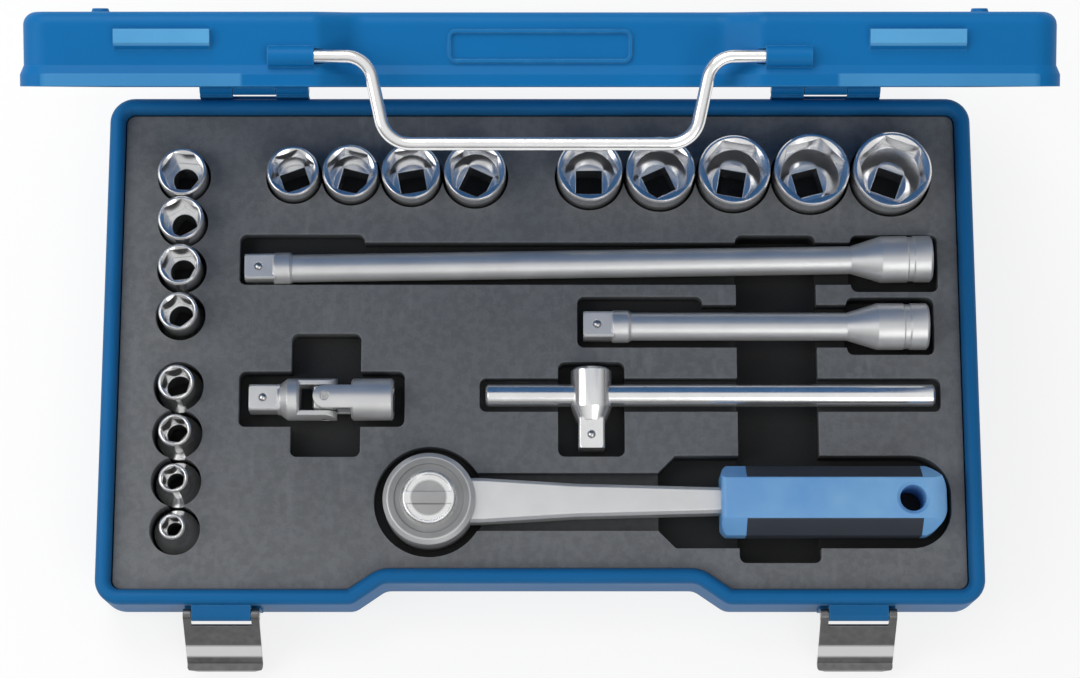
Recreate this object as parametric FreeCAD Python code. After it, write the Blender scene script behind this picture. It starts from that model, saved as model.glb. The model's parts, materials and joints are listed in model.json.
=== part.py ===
"""Socket wrench set in a hinged sheet-steel case, modelled piece by piece.

Millimetres. The origin is the middle of the underside of the case: +X runs to the right
along the case, +Y to the hinges at the rear and +Z up. The lid is drawn closed and then
turned to the angle at which the set stands open.
"""
import FreeCAD
import Part
import math
import os

from FreeCAD import Vector

# Case: overall size, sheet and rim
CASE_WIDTH = 316.0
CASE_DEPTH = 187.0
BASE_HEIGHT = 27.0
LID_HEIGHT = 22.5
SHEET = 0.9
CORNER_RADIUS = 9.0
BASE_EDGE_RADIUS = 4.0
LID_EDGE_RADIUS = 4.0
RIM_ROLL_RADIUS = 2.75
RIM_ROLL_LEG = 2.4
LID_HEM = 1.7
LID_HEM_HEIGHT = 3.0
LID_FLARE = 1.2
LID_FLARE_START = 3.6
LID_FLARE_END = 6.4
LID_GAP = 0.3
LID_OPEN_ANGLE = 72.4
LID_FIELD_INSET = 24.0
LID_FIELD_DEPTH = 0.8
DIMPLE_RADIUS = 3.0
DIMPLE_HEIGHT = 1.2
DIMPLE_X = 134.0
DIMPLE_INSET = 12.0

# Hand recess in the front wall of base and lid
RECESS_DEPTH = 7.5
RECESS_FLOOR_HALF = 55.5
RECESS_MOUTH_HALF = 66.5
RECESS_CORNER_RADIUS = 6.0
PLATE_HALF_WIDTH = 28.0
PLATE_LOW = 7.2
PLATE_HIGH = 17.2
PLATE_LINE = 1.0
PLATE_PROUD = 0.7
PLATE_CORNER = 2.5

# Hinges
HINGE_X = 105.0
HINGE_WIDTH = 40.0
HINGE_LEAF = 1.2
HINGE_LEAF_REACH = 15.5
HINGE_KNUCKLE_RADIUS = 2.7
HINGE_PIN_RADIUS = 1.3
HINGE_OFFSET = 3.6
HINGE_MIDDLE_SHARE = 0.4
HINGE_RIVET_PITCH = 26.0
RIVET_RADIUS = 1.6
RIVET_HEAD_RADIUS = 3.0
RIVET_HEAD_HEIGHT = 1.1

# Snap latches
LATCH_X = 112.9
LATCH_WIDTH = 27.0
LATCH_SHEET = 1.0
LATCH_PIVOT_DROP = 4.1
LATCH_PIVOT_OFFSET = 3.4
LATCH_KNUCKLE_RADIUS = 2.2
LATCH_PIN_RADIUS = 1.2
LATCH_STRAP_WIDTH = 21.0
LATCH_REST_ANGLE = 141.0
LATCH_TAB = 3.4
LATCH_TAB_CORNER = 4.0
LATCH_HOOK_REACH = 1.7
LATCH_BRACKET_HEIGHT = 11.0
CATCH_LENGTH = 29.0
CATCH_LOW = 11.0
CATCH_HIGH = 17.2
CATCH_PROUD = 2.0
CATCH_X = 113.8

# Wire handle on the lid
WIRE_RADIUS = 2.0
HANDLE_PIVOT_RISE = 9.0
HANDLE_END_X = 80.0
HANDLE_SHOULDER_X = 52.0
HANDLE_GRIP_HALF = 46.5
HANDLE_REACH = 26.3
HANDLE_SHOULDER_RADIUS = 8.0
HANDLE_GRIP_RADIUS = 9.0
LOOP_INNER_X = 68.0
LOOP_LENGTH = 14.0
LOOP_WALL = 1.0
WIRE_SLOT_GAP = 0.4

# Moulded tray
TRAY_DROP = 5.0
TRAY_SKIN = 1.5
CUP_WALL = 1.2
TRAY_GAP = 0.4
POCKET_GAP = 0.9
POCKET_CORNER = 2.5
SEAT_GAP = 0.2

# Shared clearances and the square drive
PIN_GAP = 0.08
RUNNING_GAP = 0.2
DRIVE_SQUARE = 9.5
DRIVE_LENGTH = 10.2
DRIVE_CHAMFER = 0.8
DRIVE_SOCKET_GAP = 0.1
DRIVE_SOCKET_DEPTH = 11.0
BALL_RADIUS = 1.6
BALL_SINK = 1.05
BALL_BORE_GAP = 0.1
BALL_LIP = 0.3
BALL_MOUTH_RADIUS = 1.42
BALL_FROM_END = 5.0
SPRING_LENGTH = 2.4
SPRING_WALL = 0.45

# Sockets: hexagon size in whole millimetres, outside diameter from the size
SOCKET_LENGTH = 28.0
LARGE_SOCKET_LENGTH = 30.0
LARGE_SOCKET_FROM = 18
SOCKET_OD_SLOPE = 1.2
SOCKET_OD_BASE = 2.1
DRIVE_END_DIAMETER = 16.4
DRIVE_END_HEIGHT = 12.0
SOCKET_SHOULDER = 2.5
LARGE_DRIVE_END_SHARE = 0.88
HEX_GAP = 0.15
HEX_DEPTH_BASE = 8.0
HEX_DEPTH_SLOPE = 0.4
HEX_LEAD = 0.8
OPEN_SOCKET_FROM = 14
OPEN_HEX_BASE = 1.0
OPEN_HEX_SLOPE = 0.42
SEAT_RADIUS = 7.2
SOCKET_TURN = 25.0
SOCKET_RIM_CHAMFER = 0.6
SIDE_COLUMN_X = -130.5
SIDE_COLUMN_TOP_Y = 64.3
SIDE_COLUMN_PITCH = 17.4
SIDE_COLUMN_BREAK = 8.8
ROW_Y = 64.5
ROW_GAP = 1.45
LEFT_ROW_X = -90.2
RIGHT_ROW_X = 18.1
SIDE_UPPER_SIZES = (13, 12, 11, 10)
SIDE_LOWER_SIZES = (9, 8, 7, 6)
LEFT_ROW_SIZES = (14, 15, 16, 17)
RIGHT_ROW_SIZES = (18, 19, 20, 21, 22)

# Extension bars
TOOL_SINK = 1.0
LONG_BAR_LENGTH = 250.0
LONG_BAR_X = -107.3
LONG_BAR_Y = 31.7
LONG_BAR_SKEW = 0.9
SHORT_BAR_LENGTH = 125.0
SHORT_BAR_X = 15.7
SHORT_BAR_Y = 8.3
SHAFT_RADIUS = 5.1
COLLAR_RADIUS = 5.9
COLLAR_LENGTH = 6.0
COLLAR_NECK = 1.2
COLLAR_EDGE = 0.5
BELL_RADIUS = 8.5
BELL_LENGTH = 18.5
BELL_CONE = 11.0
BELL_EDGE = 0.8
BELL_GROOVE = 0.35
BELL_GROOVE_WIDTH = 2.6
BELL_GROOVE_FROM_END = 6.5
BAR_SLOT_HALF = 8.0
BAR_FINGER_LENGTH = 45.5
BAR_FINGER_EXTRA = 3.0
BELL_SLOT_EXTRA = 2.2
BAR_END_GAP = 2.2

# Sliding T-bar
T_BAR_LENGTH = 162.0
T_BAR_X = -19.6
T_BAR_Y = -17.2
T_BAR_RADIUS = 4.1
T_BAR_CHAMFER = 0.8
T_HEAD_X = 18.5
T_HEAD_RADIUS = 7.4
T_HEAD_REAR = 9.6
T_HEAD_FRONT = 4.8
T_HEAD_CONE = 5.0
T_SLOT_HALF = 6.2
T_POCKET_HALF = 12.0
T_POCKET_GAP = 2.6

# Universal joint
CROSS_X = -77.3
CROSS_Y = -18.7
YOKE_RADIUS = 7.6
YOKE_EAR_HALF = 4.2
YOKE_EAR_INNER = 4.7
YOKE_SLOT_DEPTH = 9.3
YOKE_DRIVE_REACH = 17.2
YOKE_SOCKET_REACH = 24.5
YOKE_NECK = 13.6
CROSS_HALF = 4.45
CROSS_PIN_RADIUS = 1.6
JOINT_SLOT_HALF = 10.2
JOINT_END_GAP = 4.0
JOINT_FINGER_HALF = 12.6
JOINT_FINGER_REAR = 24.2
JOINT_FINGER_FRONT = 21.2

# Reversible ratchet
HEAD_X = -39.5
RATCHET_Y = -56.2
HEAD_RADIUS = 16.5
HEAD_HALF_HEIGHT = 8.5
HEAD_EDGE = 1.6
WHEEL_TEETH = 36
WHEEL_TIP_RADIUS = 10.8
WHEEL_TOOTH = 0.9
WHEEL_HEIGHT = 7.0
WHEEL_JOURNAL_RADIUS = 7.4
CHAMBER_GAP = 0.4
COVER_RADIUS = 12.4
COVER_HEIGHT = 2.2
RING_HEIGHT = 0.9
RING_DEPTH = 0.7
RING_WIDTH = 1.9
RING_SPLIT = 3.0
DISC_RADIUS = 9.6
DISC_HEIGHT = 2.6
DISC_SINK = 1.2
DISC_RIM = 1.3
DISC_SLOT = 1.0
DISC_EDGE = 0.6
DISC_BAR_HALF = 2.2
SPINDLE_RADIUS = 3.0
SPINDLE_LENGTH = 6.0
BEZEL_RADIUS = 12.4
BEZEL_DEPTH = 0.6
PAWL_PIVOT = 14.0
PAWL_PIN_RADIUS = 1.3
PAWL_TOOTH_ANGLE = 30.0
PAWL_REST_GAP = 0.3
PAWL_TOOTH_DEPTH = 1.0
PAWL_TOOTH_HALF_ANGLE = 32.0
PAWL_BACK = 1.9
PAWL_HEIGHT = 6.0
PAWL_ROOM = 1.6
SHANK_THICKNESS = 9.0
SHANK_ROOT_HALF = 8.0
SHANK_WAIST_HALF = 6.0
SHANK_TIP_HALF = 4.6
SHANK_ROOT_REACH = 19.0
SHANK_WAIST_REACH = 52.0
SHANK_EDGE = 1.2
SHANK_SEAT = 2.0
GRIP_START = 104.0
GRIP_LENGTH = 80.5
GRIP_TOP_HALF = 7.2
GRIP_SIDE_HALF = 12.5
GRIP_HALF_HEIGHT = 10.0
GRIP_SIDE_TOP = 2.5
GRIP_SIDE_LOW = -5.0
GRIP_BOTTOM_HALF = 8.5
GRIP_END_RADIUS = 12.0
GRIP_FRONT_RADIUS = 5.0
GRIP_EDGE = 2.0
GRIP_END_ROUND = 6.0
GRIP_COLLAR = 9.0
GRIP_HOLE_RADIUS = 4.7
GRIP_HOLE_FROM_END = 12.5
GRIP_HOLE_EDGE = 1.2
INLAY_INNER = 7.4
INLAY_FROM_END = 9.0
TANG_LENGTH = 52.0
TANG_HALF = 3.4
TANG_THICKNESS = 6.0
HEAD_POCKET_RADIUS = 20.0
SHANK_SLOT_HALF = 10.5
GRIP_POCKET_HALF = 16.8
GRIP_POCKET_LEAD = 22.0
GRIP_POCKET_CORNER = 6.0
GRIP_POCKET_END = 2.2
DRIVE_WELL_RADIUS = 9.5

# Finger trough across the bars and the grip
TROUGH_X = 85.8
TROUGH_HALF = 14.6
TROUGH_REAR = 42.4
TROUGH_FRONT = -78.3
TROUGH_DEPTH = 13.0

# Levels worked out from the sizes above
TRAY_TOP = BASE_HEIGHT - TRAY_DROP
TOOL_AXIS = TRAY_TOP - TOOL_SINK
DEEP_FLOOR = SHEET + CUP_WALL
LID_RIM = BASE_HEIGHT + LID_GAP
LID_TOP = LID_RIM + LID_HEIGHT
FRONT = -CASE_DEPTH / 2
REAR = CASE_DEPTH / 2
LID_FRONT_FACE = FRONT + LID_FLARE
HINGE_Y = REAR + HINGE_OFFSET
HINGE_Z = BASE_HEIGHT + LID_GAP / 2
LATCH_PIVOT_Y = FRONT - LATCH_PIVOT_OFFSET
LATCH_PIVOT_Z = BASE_HEIGHT - LATCH_PIVOT_DROP
RATCHET_MID = TRAY_TOP

X_AXIS = Vector(1, 0, 0)
Y_AXIS = Vector(0, 1, 0)
Z_AXIS = Vector(0, 0, 1)


# Small helpers
def box(x0, x1, y0, y1, z0, z1):
    return Part.makeBox(x1 - x0, y1 - y0, z1 - z0, Vector(x0, y0, z0))


def rod(start, direction, radius, length):
    return Part.makeCylinder(radius, length, Vector(*start), direction)


def cone(start, direction, radius_start, radius_end, length):
    return Part.makeCone(radius_start, radius_end, length, Vector(*start), direction)


def prism(points, z0, z1):
    corners = [Vector(x, y, z0) for x, y in points]
    face = Part.Face(Part.makePolygon(corners + corners[:1]))
    return face.extrude(Vector(0, 0, z1 - z0))


def side_prism(points, x0, x1):
    """Extrude a (y, z) outline along X."""
    corners = [Vector(x0, y, z) for y, z in points]
    face = Part.Face(Part.makePolygon(corners + corners[:1]))
    return face.extrude(Vector(x1 - x0, 0, 0))


def turned(profile, start, direction):
    """Revolve a (distance, radius) profile about an axis through start."""
    points = [Vector(r, 0, d) for d, r in profile]
    closed = [Vector(0, 0, profile[0][0])] + points + [Vector(0, 0, profile[-1][0])]
    face = Part.Face(Part.makePolygon(closed + closed[:1]))
    solid = face.revolve(Vector(0, 0, 0), Z_AXIS, 360)
    solid.Placement = FreeCAD.Placement(Vector(*start), FreeCAD.Rotation(Z_AXIS, direction))
    return solid


def joined(shapes):
    first = shapes[0]
    whole = first.multiFuse(shapes[1:]) if len(shapes) > 1 else first
    return whole.removeSplitter()


def mirrored(shape):
    return shape.mirror(Vector(0, 0, 0), X_AXIS)


def both_sides(shape):
    return Part.Compound([shape, mirrored(shape)])


def rounded_outline(points, radii, inset):
    """A closed wire through (x, y) corners, counter-clockwise, moved inwards by inset."""
    count = len(points)
    lines = []
    for i in range(count):
        a = Vector(points[i][0], points[i][1], 0)
        b = Vector(points[(i + 1) % count][0], points[(i + 1) % count][1], 0)
        along = (b - a).normalize()
        lines.append((a + Vector(-along.y, along.x, 0) * inset, along))
    edges = []
    stops = []
    for i in range(count):
        before, d0 = lines[i - 1]
        after, d1 = lines[i]
        cross = d0.x * d1.y - d0.y * d1.x
        if abs(cross) < 1e-9:
            stops.append((after, after, None))
            continue
        gap = after - before
        corner = before + d0 * ((gap.x * d1.y - gap.y * d1.x) / cross)
        radius = radii[i] - inset if cross > 0 else radii[i] + inset
        if radius < 0.05:
            stops.append((corner, corner, None))
            continue
        cut = radius * math.tan(abs(math.atan2(cross, d0.dot(d1))) / 2)
        inward = (d1 - d0).normalize()
        half = math.hypot(cut, radius) - radius
        stops.append((corner - d0 * cut, corner + d1 * cut, corner + inward * half))
    for i in range(count):
        start, end, middle = stops[i]
        if middle:
            edges.append(Part.Arc(start, middle, end).toShape())
        following = stops[(i + 1) % count][0]
        if (following - end).Length > 1e-6:
            edges.append(Part.LineSegment(end, following).toShape())
    return Part.Wire(edges)


def case_outline(inset):
    half = CASE_WIDTH / 2
    floor = FRONT + RECESS_DEPTH
    points = [(0, REAR), (-half, REAR), (-half, FRONT), (-RECESS_MOUTH_HALF, FRONT),
              (-RECESS_FLOOR_HALF, floor), (RECESS_FLOOR_HALF, floor),
              (RECESS_MOUTH_HALF, FRONT), (half, FRONT), (half, REAR)]
    big, small = CORNER_RADIUS, RECESS_CORNER_RADIUS
    return rounded_outline(points, [0, big, big, small, small, small, small, big, big], inset)


def case_plate(inset, z0, z1):
    face = Part.Face(case_outline(inset))
    plate = face.extrude(Vector(0, 0, z1 - z0))
    plate.translate(Vector(0, 0, z0))
    return plate


def case_wall(steps):
    """Sweep a wall section round the case.

    Each step is a point (inset, height), or two points: the middle and the end of an arc.
    """
    def spot(p):
        return Vector(0, REAR - p[0], p[1])

    edges = []
    here = steps[0]
    for step in steps[1:] + steps[:1]:
        if isinstance(step[0], tuple):
            edges.append(Part.Arc(spot(here), spot(step[0]), spot(step[1])).toShape())
            here = step[1]
        else:
            edges.append(Part.LineSegment(spot(here), spot(step)).toShape())
            here = step
    path = case_outline(0)
    return path.makePipeShell([Part.Wire(edges)], True, False)


def arc_to(centre, radius, degrees):
    angle = math.radians(degrees)
    return (centre[0] + radius * math.cos(angle), centre[1] + radius * math.sin(angle))


def opened(shape):
    turned_shape = shape.copy()
    turned_shape.rotate(Vector(0, HINGE_Y, HINGE_Z), X_AXIS, -LID_OPEN_ANGLE)
    return turned_shape


# Case shells
def make_base_shell():
    edge, roll = BASE_EDGE_RADIUS, RIM_ROLL_RADIUS
    toe = edge + 0.6
    top = BASE_HEIGHT - roll
    foot = (edge, edge)
    curl = (roll, top)
    thin = roll - SHEET
    steps = [(toe, 0), (edge, 0), (arc_to(foot, edge, 225), (0, edge)), (0, top),
             (arc_to(curl, roll, 90), (2 * roll, top)), (2 * roll, top - RIM_ROLL_LEG),
             (2 * roll - SHEET, top - RIM_ROLL_LEG), (2 * roll - SHEET, top),
             (arc_to(curl, thin, 90), (SHEET, top)), (SHEET, edge),
             (arc_to(foot, edge - SHEET, 225), (edge, SHEET)), (toe, SHEET)]
    floor = case_plate(edge + 0.3, 0, SHEET)
    return joined([case_wall(steps), floor])


def make_lid_shell():
    edge = LID_EDGE_RADIUS
    side = LID_FLARE
    toe = side + edge + 0.6
    bend = (side + edge, LID_HEIGHT - edge)
    steps = [(0, 0), (0, LID_FLARE_START), (side, LID_FLARE_END), (side, LID_HEIGHT - edge),
             (arc_to(bend, edge, 135), (side + edge, LID_HEIGHT)), (toe, LID_HEIGHT),
             (toe, LID_HEIGHT - SHEET), (side + edge, LID_HEIGHT - SHEET),
             (arc_to(bend, edge - SHEET, 135), (side + SHEET, LID_HEIGHT - edge)),
             (side + LID_HEM, LID_FLARE_END), (LID_HEM, LID_HEM_HEIGHT), (LID_HEM, 0)]
    wall = case_wall(steps)
    wall.translate(Vector(0, 0, LID_RIM))
    panel = case_plate(side + edge + 0.3, LID_TOP - SHEET, LID_TOP)
    field = case_plate(LID_FIELD_INSET, LID_TOP - LID_FIELD_DEPTH, LID_TOP + 1)
    field_back = case_plate(LID_FIELD_INSET - SHEET, LID_TOP - LID_FIELD_DEPTH - SHEET, LID_TOP - SHEET)
    panel = panel.fuse(field_back).cut(field)
    dimple_y = REAR - LID_FLARE - DIMPLE_INSET
    dimples = [cone((x, y, LID_TOP - SHEET / 2), Z_AXIS, DIMPLE_RADIUS, DIMPLE_RADIUS - DIMPLE_HEIGHT / 2,
                    DIMPLE_HEIGHT + SHEET / 2)
               for x in (-DIMPLE_X, DIMPLE_X) for y in (-dimple_y, dimple_y)]
    catches = [catch(side_sign) for side_sign in (-1, 1)]
    loops = [handle_loop(side_sign) for side_sign in (-1, 1)]
    shell = joined([wall, panel] + dimples + catches + loops + [plate_frame()])
    for side_sign in (-1, 1):
        shell = shell.cut(handle_bore(side_sign))
    return opened(shell)


def catch(side_sign):
    """The pressed pad that a latch snaps over, sloped below and square above."""
    x0 = side_sign * CATCH_X - CATCH_LENGTH / 2
    face = LID_FRONT_FACE
    slope = CATCH_PROUD
    low, high = LID_RIM + CATCH_LOW, LID_RIM + CATCH_HIGH
    outline = [(face + SHEET / 2, low), (face, low), (face - CATCH_PROUD, low + slope),
               (face - CATCH_PROUD, high), (face + SHEET / 2, high)]
    return side_prism(outline, x0, x0 + CATCH_LENGTH)


def handle_axis_z():
    return LID_RIM + HANDLE_PIVOT_RISE


def loop_span(side_sign):
    start = LOOP_INNER_X if side_sign > 0 else -LOOP_INNER_X - LOOP_LENGTH
    return (start, LID_FRONT_FACE, handle_axis_z())


def handle_loop(side_sign):
    radius = WIRE_RADIUS + PIN_GAP + LOOP_WALL
    return rod(loop_span(side_sign), X_AXIS, radius, LOOP_LENGTH)


def handle_bore(side_sign):
    """The bore of a loop, and a slot in the wall where the wire leaves it."""
    bore = rod(loop_span(side_sign), X_AXIS, WIRE_RADIUS + PIN_GAP, LOOP_LENGTH)
    start = HANDLE_SHOULDER_X if side_sign > 0 else -LOOP_INNER_X
    slot_start = (start, LID_FRONT_FACE, handle_axis_z())
    slot = rod(slot_start, X_AXIS, WIRE_RADIUS + WIRE_SLOT_GAP, LOOP_INNER_X - HANDLE_SHOULDER_X)
    return bore.fuse(slot)


def plate_frame():
    """The bare raised frame in the middle of the hand recess."""
    face = LID_FRONT_FACE + RECESS_DEPTH
    low, high = LID_RIM + PLATE_LOW, LID_RIM + PLATE_HIGH

    def block(inset, corner, y0, y1):
        x = PLATE_HALF_WIDTH - inset
        points = [(-x, low + inset), (x, low + inset), (x, high - inset), (-x, high - inset)]
        wire = rounded_outline(points, [corner] * 4, 0)
        solid = Part.Face(wire).extrude(Vector(0, 0, y1 - y0))
        solid.rotate(Vector(0, 0, 0), X_AXIS, 90)
        solid.translate(Vector(0, y1, 0))
        return solid

    outer = block(0, PLATE_CORNER, face - PLATE_PROUD, face + SHEET / 2)
    inner = block(PLATE_LINE, PLATE_CORNER - PLATE_LINE, face - PLATE_PROUD, face + SHEET / 2)
    return outer.cut(inner)


# Hinges
def knuckle(x0, x1):
    tube = rod((x0, HINGE_Y, HINGE_Z), X_AXIS, HINGE_KNUCKLE_RADIUS, x1 - x0)
    return tube


def hinge_bore(x0, x1):
    return rod((x0, HINGE_Y, HINGE_Z), X_AXIS, HINGE_PIN_RADIUS, x1 - x0)


def hinge_spans():
    left = HINGE_X - HINGE_WIDTH / 2
    right = HINGE_X + HINGE_WIDTH / 2
    half = HINGE_WIDTH * HINGE_MIDDLE_SHARE / 2
    return left, HINGE_X - half, HINGE_X + half, right


def rivet_spots():
    return (HINGE_X - HINGE_RIVET_PITCH / 2, HINGE_X + HINGE_RIVET_PITCH / 2)


def base_rivet_z():
    return HINGE_Z - HINGE_LEAF_REACH + RIVET_HEAD_RADIUS + 0.8


def lid_rivet_z():
    return HINGE_Z + HINGE_LEAF_REACH - RIVET_HEAD_RADIUS - 0.8


def make_hinge_leaf_base():
    left, inner_left, inner_right, right = hinge_spans()
    plate = box(left, right, REAR, REAR + HINGE_LEAF, HINGE_Z - HINGE_LEAF_REACH,
                HINGE_Z - HINGE_KNUCKLE_RADIUS - RUNNING_GAP)
    shapes = [plate]
    for x0, x1 in ((left, inner_left), (inner_right, right)):
        shapes.append(knuckle(x0, x1))
        shapes.append(box(x0, x1, REAR, REAR + HINGE_LEAF, HINGE_Z - HINGE_LEAF_REACH, HINGE_Z))
    leaf = joined(shapes)
    for x0, x1 in ((left, inner_left), (inner_right, right)):
        leaf = leaf.cut(hinge_bore(x0, x1))
    for x in rivet_spots():
        leaf = leaf.cut(rod((x, REAR, base_rivet_z()), Y_AXIS, RIVET_RADIUS, HINGE_LEAF))
    return leaf


def make_hinge_leaf_lid():
    left, inner_left, inner_right, right = hinge_spans()
    x0, x1 = inner_left + RUNNING_GAP, inner_right - RUNNING_GAP
    wall = REAR - LID_FLARE
    low = HINGE_Z + HINGE_KNUCKLE_RADIUS + RUNNING_GAP
    step = LID_RIM + LID_FLARE_END
    shapes = [knuckle(x0, x1),
              box(x0, x1, REAR, REAR + HINGE_LEAF, HINGE_Z, step + HINGE_LEAF),
              box(left, right, REAR, REAR + HINGE_LEAF, low, step + HINGE_LEAF),
              box(left, right, wall, REAR + HINGE_LEAF, step, step + HINGE_LEAF),
              box(left, right, wall, wall + HINGE_LEAF, step, HINGE_Z + HINGE_LEAF_REACH)]
    leaf = joined(shapes).cut(rod((x0, HINGE_Y, HINGE_Z), X_AXIS, HINGE_PIN_RADIUS + PIN_GAP, x1 - x0))
    for x in rivet_spots():
        leaf = leaf.cut(rod((x, wall, lid_rivet_z()), Y_AXIS, RIVET_RADIUS, HINGE_LEAF))
    return opened(both_sides(leaf))


def rivet(x, wall_inner, head_face, z):
    """A rivet along +Y: shank through the sheets, a domed head on the outer face."""
    length = head_face - wall_inner
    ball = (RIVET_HEAD_RADIUS ** 2 + RIVET_HEAD_HEIGHT ** 2) / (2 * RIVET_HEAD_HEIGHT)
    head = Part.makeSphere(ball, Vector(x, head_face - ball + RIVET_HEAD_HEIGHT, z))
    keep = rod((x, head_face, z), Y_AXIS, ball, RIVET_HEAD_HEIGHT)
    tail = rod((x, wall_inner, z), Y_AXIS, RIVET_RADIUS, length)
    return head.common(keep).fuse(tail).removeSplitter()


# Latches
def latch_strap_span():
    return LATCH_X - LATCH_STRAP_WIDTH / 2, LATCH_X + LATCH_STRAP_WIDTH / 2


def latch_bracket_low():
    return LATCH_PIVOT_Z - LATCH_KNUCKLE_RADIUS - 0.6 - LATCH_BRACKET_HEIGHT


def make_latch_bracket():
    x0, x1 = latch_strap_span()
    low = latch_bracket_low()
    half = LATCH_WIDTH / 2
    plate = box(LATCH_X - half, LATCH_X + half, FRONT - LATCH_SHEET, FRONT, low, low + LATCH_BRACKET_HEIGHT)
    neck = box(x0, x1, FRONT - LATCH_SHEET, FRONT, low, LATCH_PIVOT_Z + LATCH_KNUCKLE_RADIUS)
    roll = rod((x0, LATCH_PIVOT_Y, LATCH_PIVOT_Z), X_AXIS, LATCH_KNUCKLE_RADIUS, x1 - x0)
    crown = LATCH_PIVOT_Z + LATCH_KNUCKLE_RADIUS
    bridge = box(x0, x1, LATCH_PIVOT_Y, FRONT - LATCH_SHEET / 2, crown - LATCH_SHEET, crown)
    bracket = joined([plate, neck, roll, bridge])
    bracket = bracket.cut(rod((x0, LATCH_PIVOT_Y, LATCH_PIVOT_Z), X_AXIS, LATCH_PIN_RADIUS, x1 - x0))
    return bracket


def make_latch_lever(side_sign):
    """Bent plate, drawn closed against the lid and then swung down to rest."""
    strap0, strap1 = latch_strap_span()
    half = LATCH_WIDTH / 2
    outer0, outer1 = LATCH_X - half, LATCH_X + half
    thick = LATCH_SHEET
    inner = LID_FRONT_FACE - CATCH_PROUD - 2 * RUNNING_GAP
    outer = inner - thick
    hook = LID_RIM + CATCH_HIGH + 2 * RUNNING_GAP
    crest = hook + LATCH_HOOK_REACH
    root = LATCH_PIVOT_Z + LATCH_KNUCKLE_RADIUS + 1.2
    tip = crest + LATCH_TAB
    flare = LATCH_HOOK_REACH
    blade = side_prism([(inner, root), (inner, hook), (inner + flare, crest),
                        (inner - thick, tip), (outer - thick, tip - thick / 2),
                        (outer + flare - thick / 2, crest), (outer, hook + thick), (outer, root)],
                       outer0, outer1)
    for sign in (-1, 1):
        edge = LATCH_X + sign * half
        cut_x = edge - sign * LATCH_TAB_CORNER
        corner = [(edge, tip + 1), (edge, tip - LATCH_TAB_CORNER), (cut_x, tip + 1)]
        wedge = Part.makePolygon([Vector(x, outer - LATCH_WIDTH, z) for x, z in corner + corner[:1]])
        blade = blade.cut(Part.Face(wedge).extrude(Vector(0, 2 * LATCH_WIDTH, 0)))
    shapes = [blade]
    for x0, x1 in ((outer0, strap0 - RUNNING_GAP), (strap1 + RUNNING_GAP, outer1)):
        shapes.append(rod((x0, LATCH_PIVOT_Y, LATCH_PIVOT_Z), X_AXIS, LATCH_KNUCKLE_RADIUS, x1 - x0))
        shapes.append(box(x0, x1, outer, inner, LATCH_PIVOT_Z, root + thick))
    lever = joined(shapes)
    bore = rod((outer0, LATCH_PIVOT_Y, LATCH_PIVOT_Z), X_AXIS, LATCH_PIN_RADIUS + PIN_GAP, LATCH_WIDTH)
    lever = lever.cut(bore)
    lever.rotate(Vector(0, LATCH_PIVOT_Y, LATCH_PIVOT_Z), X_AXIS, LATCH_REST_ANGLE)
    return lever if side_sign > 0 else mirrored(lever)


def make_latch_pin():
    start = (LATCH_X - LATCH_WIDTH / 2, LATCH_PIVOT_Y, LATCH_PIVOT_Z)
    return rod(start, X_AXIS, LATCH_PIN_RADIUS, LATCH_WIDTH)


# Handle
def make_carry_handle():
    z = handle_axis_z()
    y = LID_FRONT_FACE
    low = z - HANDLE_REACH
    points = [(-HANDLE_END_X, z), (-HANDLE_SHOULDER_X, z), (-HANDLE_GRIP_HALF, low),
              (HANDLE_GRIP_HALF, low), (HANDLE_SHOULDER_X, z), (HANDLE_END_X, z)]
    radii = [0, HANDLE_SHOULDER_RADIUS, HANDLE_GRIP_RADIUS, HANDLE_GRIP_RADIUS, HANDLE_SHOULDER_RADIUS, 0]
    path = bent_path([Vector(px, y, pz) for px, pz in points], radii)
    section = Part.Wire(Part.makeCircle(WIRE_RADIUS, Vector(-HANDLE_END_X, y, z), X_AXIS))
    return opened(path.makePipeShell([section], True, False))


def bent_path(points, radii):
    """Straight runs joined by tangent arcs."""
    edges = []
    here = points[0]
    for i in range(1, len(points) - 1):
        a = (points[i] - points[i - 1]).normalize()
        b = (points[i + 1] - points[i]).normalize()
        half = a.getAngle(b) / 2
        cut = radii[i] * math.tan(half)
        start = points[i] - a * cut
        end = points[i] + b * cut
        middle = points[i] + (b - a).normalize() * (radii[i] / math.cos(half) - radii[i])
        edges.append(Part.LineSegment(here, start).toShape())
        edges.append(Part.Arc(start, middle, end).toShape())
        here = end
    edges.append(Part.LineSegment(here, points[-1]).toShape())
    return Part.Wire(edges)


# Square drive with its sprung ball, along +X from the tool's origin
def drive_square(length):
    half = DRIVE_SQUARE / 2
    square = box(0, length, -half, half, -half, half)
    return square.common(turned([(0, half * 1.25), (DRIVE_CHAMFER, half * 1.32), (length, half * 1.32)],
                                (0, 0, 0), X_AXIS))


def ball_place():
    return (BALL_FROM_END, 0, DRIVE_SQUARE / 2 - BALL_SINK)


def ball_bore():
    x, y, z = ball_place()
    radius = BALL_RADIUS + BALL_BORE_GAP
    top = DRIVE_SQUARE / 2
    bottom = z - BALL_RADIUS - SPRING_LENGTH
    wide = rod((x, y, bottom), Z_AXIS, radius, top - BALL_LIP - bottom)
    mouth = rod((x, y, bottom), Z_AXIS, BALL_MOUTH_RADIUS, top - bottom + 1)
    return wide.fuse(mouth).removeSplitter()


def make_ball():
    return Part.makeSphere(BALL_RADIUS, Vector(*ball_place()))


def make_ball_spring():
    x, y, z = ball_place()
    bottom = z - BALL_RADIUS - SPRING_LENGTH
    outer = BALL_RADIUS - BALL_BORE_GAP
    tube = rod((x, y, bottom), Z_AXIS, outer, SPRING_LENGTH)
    return tube.cut(rod((x, y, bottom), Z_AXIS, outer - SPRING_WALL, SPRING_LENGTH))


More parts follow.
